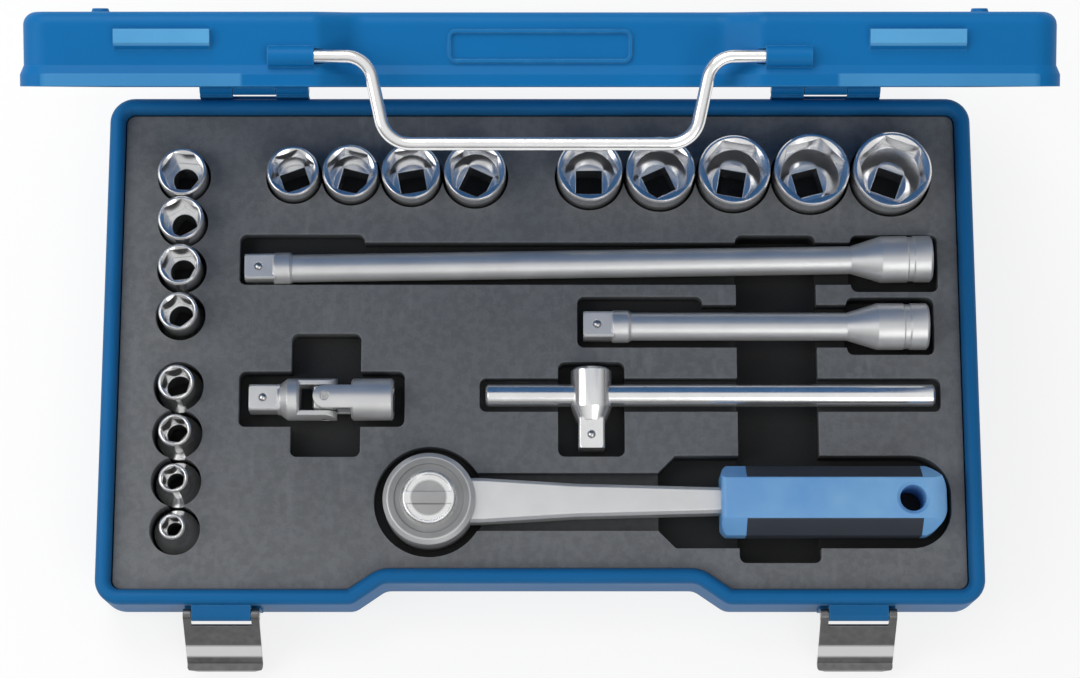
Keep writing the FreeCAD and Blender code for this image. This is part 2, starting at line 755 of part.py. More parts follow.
def drive_hole(depth):
    """The square hole that takes a drive, from x = 0 back along -X."""
    half = DRIVE_SQUARE / 2 + DRIVE_SOCKET_GAP
    lead = cone((-0.8, 0, 0), X_AXIS, half * 1.1, half * 1.36, 0.8)
    return box(-depth, 0, -half, half, -half, half).fuse(lead)


# Sockets
def socket_od(size):
    return SOCKET_OD_SLOPE * size + SOCKET_OD_BASE


def socket_length(size):
    return LARGE_SOCKET_LENGTH if size >= LARGE_SOCKET_FROM else SOCKET_LENGTH


def socket_widest(size):
    return max(socket_od(size), DRIVE_END_DIAMETER)


def socket_places():
    """Each size with the (x, y) of its axis: one column at the left, two rows at the rear."""
    places = {}
    y = SIDE_COLUMN_TOP_Y
    for size in SIDE_UPPER_SIZES + SIDE_LOWER_SIZES:
        if size == SIDE_LOWER_SIZES[0]:
            y -= SIDE_COLUMN_BREAK
        places[size] = (SIDE_COLUMN_X, y)
        y -= SIDE_COLUMN_PITCH
    for sizes, x in ((LEFT_ROW_SIZES, LEFT_ROW_X), (RIGHT_ROW_SIZES, RIGHT_ROW_X)):
        for i, size in enumerate(sizes):
            if i:
                x += (socket_od(sizes[i - 1]) + socket_od(size)) / 2 + ROW_GAP
            places[size] = (x, ROW_Y)
    return places


def hexagon_depth(size):
    """Small hexagons run deep; from OPEN_SOCKET_FROM on, a cone leads from a shorter one to the square."""
    if size >= OPEN_SOCKET_FROM:
        return OPEN_HEX_BASE + OPEN_HEX_SLOPE * size
    return HEX_DEPTH_BASE + HEX_DEPTH_SLOPE * size


def make_socket(size, place):
    length = socket_length(size)
    nose = socket_od(size) / 2
    if nose * 2 <= DRIVE_END_DIAMETER:
        tail = DRIVE_END_DIAMETER / 2
    else:
        tail = max(DRIVE_END_DIAMETER / 2, nose * LARGE_DRIVE_END_SHARE)
    edge = SOCKET_RIM_CHAMFER
    waist = DRIVE_END_HEIGHT
    profile = [(0, tail - edge), (edge, tail), (waist, tail), (waist + SOCKET_SHOULDER, nose),
               (length - edge, nose), (length, nose - edge)]
    body = turned(profile, (0, 0, 0), Z_AXIS)
    across = size / 2 + HEX_GAP
    corner = across / math.cos(math.pi / 6)
    deep = hexagon_depth(size)
    turns = [math.pi * k / 3 for k in range(6)]
    outline = [(corner * math.cos(turn), corner * math.sin(turn)) for turn in turns]
    hexagon = prism(outline, length - deep, length)
    lead_start = (0, 0, length - HEX_LEAD)
    lead = cone(lead_start, Z_AXIS, across, corner + HEX_GAP, HEX_LEAD)
    square = drive_hole(DRIVE_SOCKET_DEPTH)
    square.rotate(Vector(0, 0, 0), Y_AXIS, 90)
    if size >= OPEN_SOCKET_FROM:
        seat = min(SEAT_RADIUS, across - HEX_GAP)
        start = (0, 0, DRIVE_SOCKET_DEPTH)
        through = cone(start, Z_AXIS, seat, across, length - deep - DRIVE_SOCKET_DEPTH)
    else:
        through = rod((0, 0, 0), Z_AXIS, min(DRIVE_SQUARE / 2, across) - RUNNING_GAP, length)
    socket = body.cut(joined([hexagon, lead, square, through]))
    socket.rotate(Vector(0, 0, 0), Z_AXIS, (size * SOCKET_TURN) % 60 - 30)
    socket.translate(Vector(place[0], place[1], DEEP_FLOOR))
    return socket


# Extension bars, drawn along +X from the tip of the square
def make_bar(length):
    start = DRIVE_LENGTH
    bell = length - BELL_LENGTH
    groove = length - BELL_GROOVE_FROM_END
    profile = [(start, COLLAR_RADIUS - COLLAR_EDGE), (start + COLLAR_EDGE, COLLAR_RADIUS),
               (start + COLLAR_LENGTH, COLLAR_RADIUS),
               (start + COLLAR_LENGTH + COLLAR_NECK, SHAFT_RADIUS), (bell - BELL_CONE, SHAFT_RADIUS),
               (bell, BELL_RADIUS), (groove - BELL_GROOVE_WIDTH, BELL_RADIUS),
               (groove - BELL_GROOVE_WIDTH + BELL_GROOVE, BELL_RADIUS - BELL_GROOVE),
               (groove - BELL_GROOVE, BELL_RADIUS - BELL_GROOVE), (groove, BELL_RADIUS),
               (length - BELL_EDGE, BELL_RADIUS), (length, BELL_RADIUS - BELL_EDGE)]
    bar = turned(profile, (0, 0, 0), X_AXIS).fuse(drive_square(start + 1)).removeSplitter()
    hole = drive_hole(DRIVE_SOCKET_DEPTH)
    hole.translate(Vector(length, 0, 0))
    return bar.cut(ball_bore()).cut(hole)


def lay(shape, x, y, skew=0.0, length=0.0):
    laid = shape.copy()
    laid.rotate(Vector(length / 2, 0, 0), Z_AXIS, skew)
    laid.translate(Vector(x, y, TOOL_AXIS))
    return laid


# Sliding T-bar
def make_t_bar():
    edge = T_BAR_CHAMFER
    profile = [(0, T_BAR_RADIUS - edge), (edge, T_BAR_RADIUS), (T_BAR_LENGTH - edge, T_BAR_RADIUS),
               (T_BAR_LENGTH, T_BAR_RADIUS - edge)]
    return turned(profile, (T_BAR_X, T_BAR_Y, TOOL_AXIS), X_AXIS)


def t_head_tip():
    return T_HEAD_FRONT + T_HEAD_CONE + DRIVE_LENGTH


def to_t_head(shape):
    """Turn a drive drawn along +X so that its tip points to the front of the case."""
    laid = shape.copy()
    laid.rotate(Vector(0, 0, 0), Z_AXIS, 90)
    laid.translate(Vector(T_HEAD_X, T_BAR_Y - t_head_tip(), TOOL_AXIS))
    return laid


def make_t_head():
    edge = 0.9
    neck = DRIVE_SQUARE / 2 + 0.6
    profile = [(-T_HEAD_REAR, T_HEAD_RADIUS - edge), (-T_HEAD_REAR + edge, T_HEAD_RADIUS),
               (T_HEAD_FRONT, T_HEAD_RADIUS), (T_HEAD_FRONT + T_HEAD_CONE, neck)]
    barrel = turned(profile, (T_HEAD_X, T_BAR_Y, TOOL_AXIS), Vector(0, -1, 0))
    head = barrel.fuse(to_t_head(drive_square(DRIVE_LENGTH + 1))).removeSplitter()
    reach = T_HEAD_RADIUS + 1
    bore = rod((T_HEAD_X - reach, T_BAR_Y, TOOL_AXIS), X_AXIS, T_BAR_RADIUS + PIN_GAP, 2 * reach)
    return head.cut(bore).cut(to_t_head(ball_bore()))


# Universal joint, drawn about the middle of its cross
def place_joint(shape):
    laid = shape.copy()
    laid.translate(Vector(CROSS_X, CROSS_Y, TOOL_AXIS))
    return laid


def yoke_ears(direction):
    """Two ears along +X or -X, above and below the cross, with a pin hole through them."""
    reach = YOKE_SLOT_DEPTH
    barrel = rod((-YOKE_EAR_HALF, 0, 0), X_AXIS, YOKE_RADIUS, YOKE_EAR_HALF + reach + 1)
    width = box(0, reach + 1, -YOKE_EAR_HALF, YOKE_EAR_HALF, -YOKE_RADIUS, YOKE_RADIUS)
    nose = rod((0, 0, -YOKE_RADIUS), Z_AXIS, YOKE_EAR_HALF, 2 * YOKE_RADIUS)
    slot = box(-YOKE_EAR_HALF - 1, reach, -YOKE_RADIUS, YOKE_RADIUS, -YOKE_EAR_INNER, YOKE_EAR_INNER)
    ears = barrel.common(width.fuse(nose)).cut(slot)
    if direction < 0:
        ears.rotate(Vector(0, 0, 0), Z_AXIS, 180)
    return ears


def make_socket_yoke():
    start = YOKE_SLOT_DEPTH
    end = YOKE_SOCKET_REACH
    barrel = turned([(start, YOKE_RADIUS - 0.8), (start + 0.8, YOKE_RADIUS), (end - 0.7, YOKE_RADIUS),
                     (end, YOKE_RADIUS - 0.7)], (0, 0, 0), X_AXIS)
    hole = drive_hole(DRIVE_SOCKET_DEPTH)
    hole.translate(Vector(end, 0, 0))
    yoke = barrel.fuse(yoke_ears(1)).removeSplitter().cut(hole)
    return place_joint(yoke.cut(rod((0, 0, -YOKE_RADIUS), Z_AXIS, CROSS_PIN_RADIUS, 2 * YOKE_RADIUS)))


def drive_yoke_tip():
    return YOKE_DRIVE_REACH + DRIVE_LENGTH


def to_drive_yoke(shape):
    laid = shape.copy()
    laid.translate(Vector(CROSS_X - drive_yoke_tip(), CROSS_Y, TOOL_AXIS))
    return laid


def make_drive_yoke():
    neck = DRIVE_SQUARE / 2 + 0.9
    barrel = turned([(YOKE_SLOT_DEPTH, YOKE_RADIUS - 0.8), (YOKE_SLOT_DEPTH + 0.8, YOKE_RADIUS),
                     (YOKE_NECK, YOKE_RADIUS), (YOKE_DRIVE_REACH - 1, neck), (YOKE_DRIVE_REACH, neck)],
                    (0, 0, 0), Vector(-1, 0, 0))
    ears = yoke_ears(-1)
    ears.rotate(Vector(0, 0, 0), X_AXIS, 90)
    square = to_drive_yoke(drive_square(DRIVE_LENGTH + 1))
    yoke = place_joint(barrel.fuse(ears)).fuse(square).removeSplitter()
    side = (CROSS_X, CROSS_Y - YOKE_RADIUS, TOOL_AXIS)
    pin = rod(side, Y_AXIS, CROSS_PIN_RADIUS + PIN_GAP, 2 * YOKE_RADIUS)
    return yoke.cut(pin).cut(to_drive_yoke(ball_bore()))


def make_cross_block():
    half = CROSS_HALF
    block = box(-half, half, -half, half, -half, half)
    block = block.makeChamfer(0.7, block.Edges)
    radius = CROSS_PIN_RADIUS + PIN_GAP
    upright = rod((0, 0, -half), Z_AXIS, radius, 2 * half)
    across = rod((0, -half, 0), Y_AXIS, CROSS_PIN_RADIUS, 2 * half)
    return place_joint(block.cut(upright).cut(across))


def make_upright_pin():
    length = 2 * YOKE_RADIUS - 0.6
    return place_joint(rod((0, 0, -length / 2), Z_AXIS, CROSS_PIN_RADIUS, length))


def make_side_pins():
    inner = CROSS_PIN_RADIUS + 2 * RUNNING_GAP
    length = YOKE_RADIUS - 0.3 - inner
    pins = [rod((0, inner, 0), Y_AXIS, CROSS_PIN_RADIUS, length),
            rod((0, -inner, 0), Vector(0, -1, 0), CROSS_PIN_RADIUS, length)]
    return place_joint(Part.Compound(pins))


# Ratchet, drawn about the axis of its drive and the middle of its shank
def place_ratchet(shape):
    laid = shape.copy()
    laid.translate(Vector(HEAD_X, RATCHET_Y, RATCHET_MID))
    return laid


def ring_low():
    return -HEAD_HALF_HEIGHT + RING_DEPTH


def cover_low():
    return ring_low() + RING_HEIGHT


def wheel_low():
    return cover_low() + COVER_HEIGHT + RUNNING_GAP


def chamber_top():
    return wheel_low() + WHEEL_HEIGHT + RUNNING_GAP


def disc_low():
    return HEAD_HALF_HEIGHT - DISC_SINK


def pawl_spot(radius, degrees):
    angle = math.radians(degrees)
    return (radius * math.cos(angle), radius * math.sin(angle))


def make_tang():
    half = TANG_THICKNESS / 2
    return box(GRIP_START, GRIP_START + TANG_LENGTH, -TANG_HALF, TANG_HALF, -half, half)


def make_ratchet_body():
    edge = HEAD_EDGE
    low, high = -HEAD_HALF_HEIGHT, HEAD_HALF_HEIGHT
    head = turned([(low, HEAD_RADIUS - edge), (low + edge, HEAD_RADIUS), (high - edge, HEAD_RADIUS),
                   (high, HEAD_RADIUS - edge)], (0, 0, 0), Z_AXIS)
    half = SHANK_THICKNESS / 2
    end = GRIP_START + SHANK_SEAT
    flank = [(0, SHANK_ROOT_HALF), (SHANK_ROOT_REACH, SHANK_ROOT_HALF),
             (SHANK_WAIST_REACH, SHANK_WAIST_HALF), (end, SHANK_TIP_HALF)]
    outline = [(x, -y) for x, y in flank] + flank[::-1]
    shank = prism(outline, -half, half)
    long_edges = [e for e in shank.Edges
                  if abs(abs(e.CenterOfMass.z) - half) < 1e-6 and 1 < e.CenterOfMass.x < end - 1]
    shank = shank.makeChamfer(SHANK_EDGE, long_edges)
    tang = make_tang()
    body = joined([head, shank, tang])
    chamber = WHEEL_TIP_RADIUS + CHAMBER_GAP
    cuts = [rod((0, 0, low), Z_AXIS, chamber, chamber_top() - low),
            rod((0, 0, low), Z_AXIS, COVER_RADIUS + RUNNING_GAP, cover_low() + COVER_HEIGHT - low),
            rod((0, 0, ring_low()), Z_AXIS, COVER_RADIUS + RING_WIDTH / 2, RING_HEIGHT),
            rod((0, 0, high - BEZEL_DEPTH), Z_AXIS, BEZEL_RADIUS, BEZEL_DEPTH + 1),
            rod((0, 0, disc_low()), Z_AXIS, DISC_RADIUS + 2 * RUNNING_GAP, HEAD_HALF_HEIGHT),
            rod((0, 0, 0), Z_AXIS, SPINDLE_RADIUS + PIN_GAP, HEAD_HALF_HEIGHT),
            pawl_chamber()]
    return place_ratchet(body.cut(joined(cuts)))


def pawl_chamber():
    """Room behind the wheel in which the pawl rocks."""
    x, y = pawl_spot(WHEEL_TIP_RADIUS + PAWL_REST_GAP, PAWL_TOOTH_ANGLE)
    side = y + PAWL_ROOM
    back = PAWL_PIVOT + PAWL_BACK
    z0, z1 = wheel_low(), chamber_top()
    shapes = [box(x - 1, back, -side, side, z0, z1),
              rod((PAWL_PIVOT, 0, z0 - 1), Z_AXIS, PAWL_PIN_RADIUS + PIN_GAP, z1 - z0 + 2)]
    return joined(shapes)


def make_pawl():
    """Double-ended pawl on its own trunnions, one tooth at each end."""
    near = WHEEL_TIP_RADIUS + PAWL_REST_GAP
    lean = math.radians(PAWL_TOOTH_HALF_ANGLE)
    x, y = pawl_spot(near, PAWL_TOOTH_ANGLE)
    half = PAWL_TOOTH_DEPTH * math.tan(lean)
    along = math.radians(PAWL_TOOTH_ANGLE)
    out = (math.cos(along), math.sin(along))
    across = (-out[1], out[0])

    def spot(depth, side):
        return (x + out[0] * depth + across[0] * side, y + out[1] * depth + across[1] * side)

    inner = spot(PAWL_TOOTH_DEPTH, -half)
    outer = spot(PAWL_TOOTH_DEPTH, half)
    face = near + PAWL_TOOTH_DEPTH + 0.1
    upper = [(face, 0), inner, (x, y), outer, (PAWL_PIVOT, outer[1]), (PAWL_PIVOT + PAWL_BACK - 0.7, 2.2)]
    lower = [(px, -py) for px, py in reversed(upper[1:])]
    z0 = wheel_low() + (WHEEL_HEIGHT - PAWL_HEIGHT) / 2
    blade = prism(upper + lower, z0, z0 + PAWL_HEIGHT)
    low = wheel_low() - 1 + RUNNING_GAP
    high = chamber_top() + 1 - RUNNING_GAP
    pin = rod((PAWL_PIVOT, 0, low), Z_AXIS, PAWL_PIN_RADIUS, high - low)
    return place_ratchet(blade.fuse(pin).removeSplitter())


def make_drive_wheel():
    step = math.pi / WHEEL_TEETH
    root = WHEEL_TIP_RADIUS - WHEEL_TOOTH
    points = []
    for k in range(2 * WHEEL_TEETH):
        radius = root if k % 2 == 0 else WHEEL_TIP_RADIUS
        points.append((radius * math.cos(k * step), radius * math.sin(k * step)))
    toothed = prism(points, wheel_low(), wheel_low() + WHEEL_HEIGHT)
    low = -HEAD_HALF_HEIGHT
    journal = rod((0, 0, low), Z_AXIS, WHEEL_JOURNAL_RADIUS, wheel_low() - low + 1)
    square = ratchet_drive(drive_square(DRIVE_LENGTH + 1))
    wheel = joined([toothed, journal, square])
    top = wheel_low() + WHEEL_HEIGHT
    room = rod((0, 0, top - 3.2), Z_AXIS, SPINDLE_RADIUS + 0.6, 3.2)
    return place_ratchet(wheel.cut(room).cut(ratchet_drive(ball_bore())))


def ratchet_drive(shape):
    """Turn a drive drawn along +X so that its tip points down under the head."""
    laid = shape.copy()
    laid.rotate(Vector(0, 0, 0), Y_AXIS, -90)
    laid.translate(Vector(0, 0, -HEAD_HALF_HEIGHT - DRIVE_LENGTH))
    return laid


def make_cover_plate():
    plate = rod((0, 0, cover_low()), Z_AXIS, COVER_RADIUS, COVER_HEIGHT)
    bore = rod((0, 0, cover_low()), Z_AXIS, WHEEL_JOURNAL_RADIUS + PIN_GAP, COVER_HEIGHT)
    return place_ratchet(plate.cut(bore))


def make_retaining_ring():
    outer = COVER_RADIUS + RING_WIDTH / 2 - 0.05
    ring = rod((0, 0, ring_low()), Z_AXIS, outer, RING_HEIGHT)
    ring = ring.cut(rod((0, 0, ring_low()), Z_AXIS, outer - RING_WIDTH, RING_HEIGHT))
    split = box(-outer - 1, 0, -RING_SPLIT / 2, RING_SPLIT / 2, ring_low(), ring_low() + RING_HEIGHT)
    return place_ratchet(ring.cut(split))


def make_reversing_disc():
    low = disc_low() + RUNNING_GAP
    high = low + DISC_HEIGHT
    profile = [(low, DISC_RADIUS), (high - DISC_EDGE, DISC_RADIUS), (high, DISC_RADIUS - DISC_EDGE)]
    disc = turned(profile, (0, 0, 0), Z_AXIS)
    spindle = rod((0, 0, low - SPINDLE_LENGTH), Z_AXIS, SPINDLE_RADIUS, SPINDLE_LENGTH + 0.5)
    whole = disc.fuse(spindle).removeSplitter()
    reach = DISC_RADIUS - DISC_RIM
    bowl = rod((0, 0, high - DISC_SLOT), Z_AXIS, reach, DISC_SLOT + 1)
    bar = box(-2 * reach, 2 * reach, -DISC_BAR_HALF, DISC_BAR_HALF, high - DISC_SLOT, high + 1)
    return place_ratchet(whole.cut(bowl.cut(bar)))


def grip_blank():
    top, low = GRIP_HALF_HEIGHT, -GRIP_HALF_HEIGHT
    section = [(-GRIP_BOTTOM_HALF, low), (GRIP_BOTTOM_HALF, low), (GRIP_SIDE_HALF, GRIP_SIDE_LOW),
               (GRIP_SIDE_HALF, GRIP_SIDE_TOP), (GRIP_TOP_HALF, top), (-GRIP_TOP_HALF, top),
               (-GRIP_SIDE_HALF, GRIP_SIDE_TOP), (-GRIP_SIDE_HALF, GRIP_SIDE_LOW)]
    end = GRIP_START + GRIP_LENGTH
    bar = side_prism(section, GRIP_START, end)
    side = GRIP_SIDE_HALF + 1
    plan = [(GRIP_START, -side), (end, -side), (end, side), (GRIP_START, side)]
    wire = rounded_outline(plan, [GRIP_FRONT_RADIUS, GRIP_END_RADIUS, GRIP_END_RADIUS, GRIP_FRONT_RADIUS], 0)
    keep = Part.Face(wire).extrude(Vector(0, 0, 2 * top))
    keep.translate(Vector(0, 0, low))
    profile = [(GRIP_START, low), (end, low), (end, top), (GRIP_START, top)]
    side_wire = rounded_outline(profile, [GRIP_EDGE, GRIP_END_ROUND, GRIP_END_ROUND, GRIP_EDGE], 0)
    side_keep = Part.Face(side_wire).extrude(Vector(0, 0, 2 * side))
    side_keep.rotate(Vector(0, 0, 0), X_AXIS, 90)
    side_keep.translate(Vector(0, side, 0))
    return bar.common(keep).common(side_keep)


def inlay_room(side_sign):
    reach = GRIP_SIDE_HALF + 1
    y0, y1 = (INLAY_INNER, reach) if side_sign > 0 else (-reach, -INLAY_INNER)
    return box(GRIP_START + GRIP_COLLAR, GRIP_START + GRIP_LENGTH - INLAY_FROM_END, y0, y1,
               -GRIP_HALF_HEIGHT, GRIP_HALF_HEIGHT)


def make_grip():
    end = GRIP_START + GRIP_LENGTH
    tang = make_tang()
    half = SHANK_THICKNESS / 2
    side = SHANK_TIP_HALF + RUNNING_GAP
    mouth = box(GRIP_START, GRIP_START + SHANK_SEAT, -side, side, -half, half)
    x = end - GRIP_HOLE_FROM_END
    top = GRIP_HALF_HEIGHT
    hole = turned([(-top, GRIP_HOLE_RADIUS + GRIP_HOLE_EDGE), (-top + GRIP_HOLE_EDGE, GRIP_HOLE_RADIUS),
                   (top - GRIP_HOLE_EDGE, GRIP_HOLE_RADIUS), (top, GRIP_HOLE_RADIUS + GRIP_HOLE_EDGE)],
                  (x, 0, 0), Z_AXIS)
    cuts = [tang, mouth, hole, inlay_room(-1), inlay_room(1)]
    return place_ratchet(grip_blank().cut(Part.Compound(cuts)))


def make_grip_inlays():
    blank = grip_blank()
    return place_ratchet(Part.Compound([blank.common(inlay_room(sign)).Solids[0] for sign in (-1, 1)]))


# Tray: each pocket is an outline pushed down to its own floor
def pocket_box(x0, x1, y0, y1, floor):
    corners = [(x0, y0), (x1, y0), (x1, y1), (x0, y1)]
    return pocket_outline(corners, [POCKET_CORNER] * 4, floor)


def pocket_disc(x, y, radius, floor):
    def shape(grow, z0, z1):
        return rod((x, y, z0), Z_AXIS, radius + grow, z1 - z0)
    return shape, floor


def pocket_outline(points, radii, floor):
    def shape(grow, z0, z1):
        solid = Part.Face(rounded_outline(points, radii, -grow)).extrude(Vector(0, 0, z1 - z0))
        solid.translate(Vector(0, 0, z0))
        return solid
    return shape, floor


def socket_pockets():
    return [pocket_disc(x, y, socket_widest(size) / 2 + POCKET_GAP, DEEP_FLOOR)
            for size, (x, y) in socket_places().items()]


def bar_pockets(x, y, length, finger):
    floor = TOOL_AXIS - COLLAR_RADIUS - SEAT_GAP
    bell_floor = TOOL_AXIS - BELL_RADIUS - SEAT_GAP
    end = x + length + BAR_END_GAP
    bell_half = BELL_RADIUS + BELL_SLOT_EXTRA
    start = x - BAR_END_GAP
    low, high = y - BAR_SLOT_HALF, y + BAR_SLOT_HALF
    bell_start = x + length - BELL_LENGTH - BELL_CONE
    return [pocket_box(start, end, low, high, floor),
            pocket_box(start, start + finger, low, high + BAR_FINGER_EXTRA, floor),
            pocket_box(bell_start, end, y - bell_half, y + bell_half, bell_floor)]


def t_bar_pockets():
    floor = TOOL_AXIS - T_BAR_RADIUS - SEAT_GAP
    head_floor = TOOL_AXIS - T_HEAD_RADIUS - SEAT_GAP
    front = T_BAR_Y - t_head_tip() - T_POCKET_GAP
    rear = T_BAR_Y + T_HEAD_REAR + T_POCKET_GAP
    return [pocket_box(T_BAR_X - BAR_END_GAP, T_BAR_X + T_BAR_LENGTH + BAR_END_GAP,
                       T_BAR_Y - T_SLOT_HALF, T_BAR_Y + T_SLOT_HALF, floor),
            pocket_box(T_HEAD_X - T_POCKET_HALF, T_HEAD_X + T_POCKET_HALF, front, rear, head_floor)]


def joint_pockets():
    floor = TOOL_AXIS - YOKE_RADIUS - SEAT_GAP
    left = CROSS_X - drive_yoke_tip() - JOINT_END_GAP
    right = CROSS_X + YOKE_SOCKET_REACH + JOINT_END_GAP
    return [pocket_box(left, right, CROSS_Y - JOINT_SLOT_HALF, CROSS_Y + JOINT_SLOT_HALF, floor),
            pocket_box(CROSS_X - JOINT_FINGER_HALF, CROSS_X + JOINT_FINGER_HALF,
                       CROSS_Y - JOINT_FINGER_FRONT, CROSS_Y + JOINT_FINGER_REAR, floor)]


def ratchet_pockets():
    grip0 = HEAD_X + GRIP_START
    grip1 = grip0 + GRIP_LENGTH + GRIP_POCKET_END
    half = GRIP_POCKET_HALF
    lead = grip0 - GRIP_POCKET_LEAD
    cut = GRIP_POCKET_CORNER
    low, high = RATCHET_Y - half, RATCHET_Y + half
    outline = [(lead, high - cut), (lead, low + cut), (lead + cut, low),
               (grip1, low), (grip1, high), (lead + cut, high)]
    end = GRIP_END_RADIUS + GRIP_POCKET_END
    grip_floor = RATCHET_MID - GRIP_HALF_HEIGHT - SEAT_GAP
    head_floor = RATCHET_MID - HEAD_HALF_HEIGHT - SEAT_GAP
    shank_floor = RATCHET_MID - SHANK_THICKNESS / 2 - SEAT_GAP
    return [pocket_outline(outline, [1, 1, 1, end, end, 1], grip_floor),
            pocket_disc(HEAD_X, RATCHET_Y, HEAD_POCKET_RADIUS, head_floor),
            pocket_disc(HEAD_X, RATCHET_Y, DRIVE_WELL_RADIUS, DEEP_FLOOR),
            pocket_box(HEAD_X, grip0, RATCHET_Y - SHANK_SLOT_HALF, RATCHET_Y + SHANK_SLOT_HALF,
                       shank_floor)]


def make_tool_tray():
    pockets = socket_pockets() + t_bar_pockets() + joint_pockets() + ratchet_pockets()
    pockets += bar_pockets(LONG_BAR_X, LONG_BAR_Y, LONG_BAR_LENGTH, BAR_FINGER_LENGTH)
    pockets += bar_pockets(SHORT_BAR_X, SHORT_BAR_Y, SHORT_BAR_LENGTH, BAR_FINGER_LENGTH)
    pockets.append(pocket_box(TROUGH_X - TROUGH_HALF, TROUGH_X + TROUGH_HALF, TROUGH_FRONT, TROUGH_REAR,
                              TRAY_TOP - TROUGH_DEPTH))
    skin = case_plate(2 * RIM_ROLL_RADIUS + TRAY_GAP, TRAY_TOP - TRAY_SKIN, TRAY_TOP)
    cups = [shape(CUP_WALL, floor - CUP_WALL, TRAY_TOP - TRAY_SKIN / 2) for shape, floor in pockets]
    rooms = [shape(0, floor, TRAY_TOP + 1) for shape, floor in pockets]
    return skin.multiFuse(cups).cut(rooms[0].multiFuse(rooms[1:])).removeSplitter()


# Every piece under the name of its node
def make_pieces():
    pieces = {"base_shell": make_base_shell(), "tool_tray": make_tool_tray(), "lid_shell": make_lid_shell()}
    pieces["hinge_leaves_base"] = both_sides(make_hinge_leaf_base())
    pieces["hinge_leaves_lid"] = make_hinge_leaf_lid()
    left, _, _, right = hinge_spans()
    pieces["hinge_pins"] = both_sides(hinge_bore(left, right))
    hinge_rivets = Part.Compound([rivet(x, REAR, REAR + HINGE_LEAF, base_rivet_z()) for x in rivet_spots()])
    pieces["base_rivets_right"] = hinge_rivets
    pieces["base_rivets_left"] = mirrored(hinge_rivets)
    lid_wall = REAR - LID_FLARE
    lid_face = lid_wall + HINGE_LEAF
    lid_rivets = Part.Compound([rivet(x, lid_wall, lid_face, lid_rivet_z()) for x in rivet_spots()])
    pieces["lid_rivets_right"] = opened(lid_rivets)
    pieces["lid_rivets_left"] = opened(mirrored(lid_rivets))
    pieces["latch_brackets"] = both_sides(make_latch_bracket())
    pieces["latch_pins"] = both_sides(make_latch_pin())
    pieces["latch_lever_left"] = make_latch_lever(-1)
    pieces["latch_lever_right"] = make_latch_lever(1)
    pieces["carry_handle"] = make_carry_handle()
    for size, place in socket_places().items():
        pieces["socket_%02d_mm" % size] = make_socket(size, place)
    bars = (("long", LONG_BAR_LENGTH, LONG_BAR_X, LONG_BAR_Y, LONG_BAR_SKEW),
            ("short", SHORT_BAR_LENGTH, SHORT_BAR_X, SHORT_BAR_Y, 0.0))
    for name, length, x, y, skew in bars:
        pieces[name + "_extension_bar"] = lay(make_bar(length), x, y, skew, length)
        pieces[name + "_extension_ball"] = lay(make_ball(), x, y, skew, length)
        pieces[name + "_extension_spring"] = lay(make_ball_spring(), x, y, skew, length)
    pieces["t_bar"] = make_t_bar()
    pieces["t_head"] = make_t_head()
    pieces["t_head_ball"] = to_t_head(make_ball())
    pieces["t_head_spring"] = to_t_head(make_ball_spring())
    pieces["joint_socket_yoke"] = make_socket_yoke()
    pieces["joint_cross_block"] = make_cross_block()
    pieces["joint_drive_yoke"] = make_drive_yoke()
    pieces["joint_upright_pin"] = make_upright_pin()
    pieces["joint_side_pins"] = make_side_pins()
    pieces["joint_ball"] = to_drive_yoke(make_ball())
    pieces["joint_spring"] = to_drive_yoke(make_ball_spring())
    pieces["ratchet_body"] = make_ratchet_body()
    pieces["ratchet_grip"] = make_grip()
    pieces["ratchet_grip_inlays"] = make_grip_inlays()
    pieces["ratchet_drive_wheel"] = make_drive_wheel()
    pieces["ratchet_pawl"] = make_pawl()
    pieces["ratchet_cover_plate"] = make_cover_plate()
    pieces["ratchet_retaining_ring"] = make_retaining_ring()
    pieces["ratchet_reversing_disc"] = make_reversing_disc()
    pieces["ratchet_ball"] = place_ratchet(ratchet_drive(make_ball()))
    pieces["ratchet_ball_spring"] = place_ratchet(ratchet_drive(make_ball_spring()))
    return pieces


os.makedirs("parts", exist_ok=True)
for name, shape in make_pieces().items():
    shape.exportStep("parts/%s.step" % name)
    print("%-26s solids %d valid %s volume %.1f" % (name, len(shape.Solids), shape.isValid(), shape.Volume))
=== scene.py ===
"""Looks of a socket wrench set in its sheet-steel case, laid out as a Blender add-on."""

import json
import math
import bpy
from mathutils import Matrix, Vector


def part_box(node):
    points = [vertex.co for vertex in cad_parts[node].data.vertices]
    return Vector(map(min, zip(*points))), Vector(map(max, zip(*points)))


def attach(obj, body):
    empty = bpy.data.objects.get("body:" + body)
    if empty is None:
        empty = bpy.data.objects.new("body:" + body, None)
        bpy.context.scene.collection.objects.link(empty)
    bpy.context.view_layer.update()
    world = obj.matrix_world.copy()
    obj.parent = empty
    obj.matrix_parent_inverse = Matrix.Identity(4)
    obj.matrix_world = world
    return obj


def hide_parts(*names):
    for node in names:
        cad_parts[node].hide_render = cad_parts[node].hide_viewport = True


bl_info = {
    "name": "Socket wrench set in case",
    "version": (1, 0, 0),
    "blender": (4, 5, 0),
    "location": "View3D > Sidebar > Socket set",
    "description": "Finishes the case, the tray and the tools of a socket wrench set and lights them",
    "category": "Object",
}

import bpy
from bpy.props import FloatProperty, FloatVectorProperty, IntProperty, PointerProperty
from mathutils import Vector

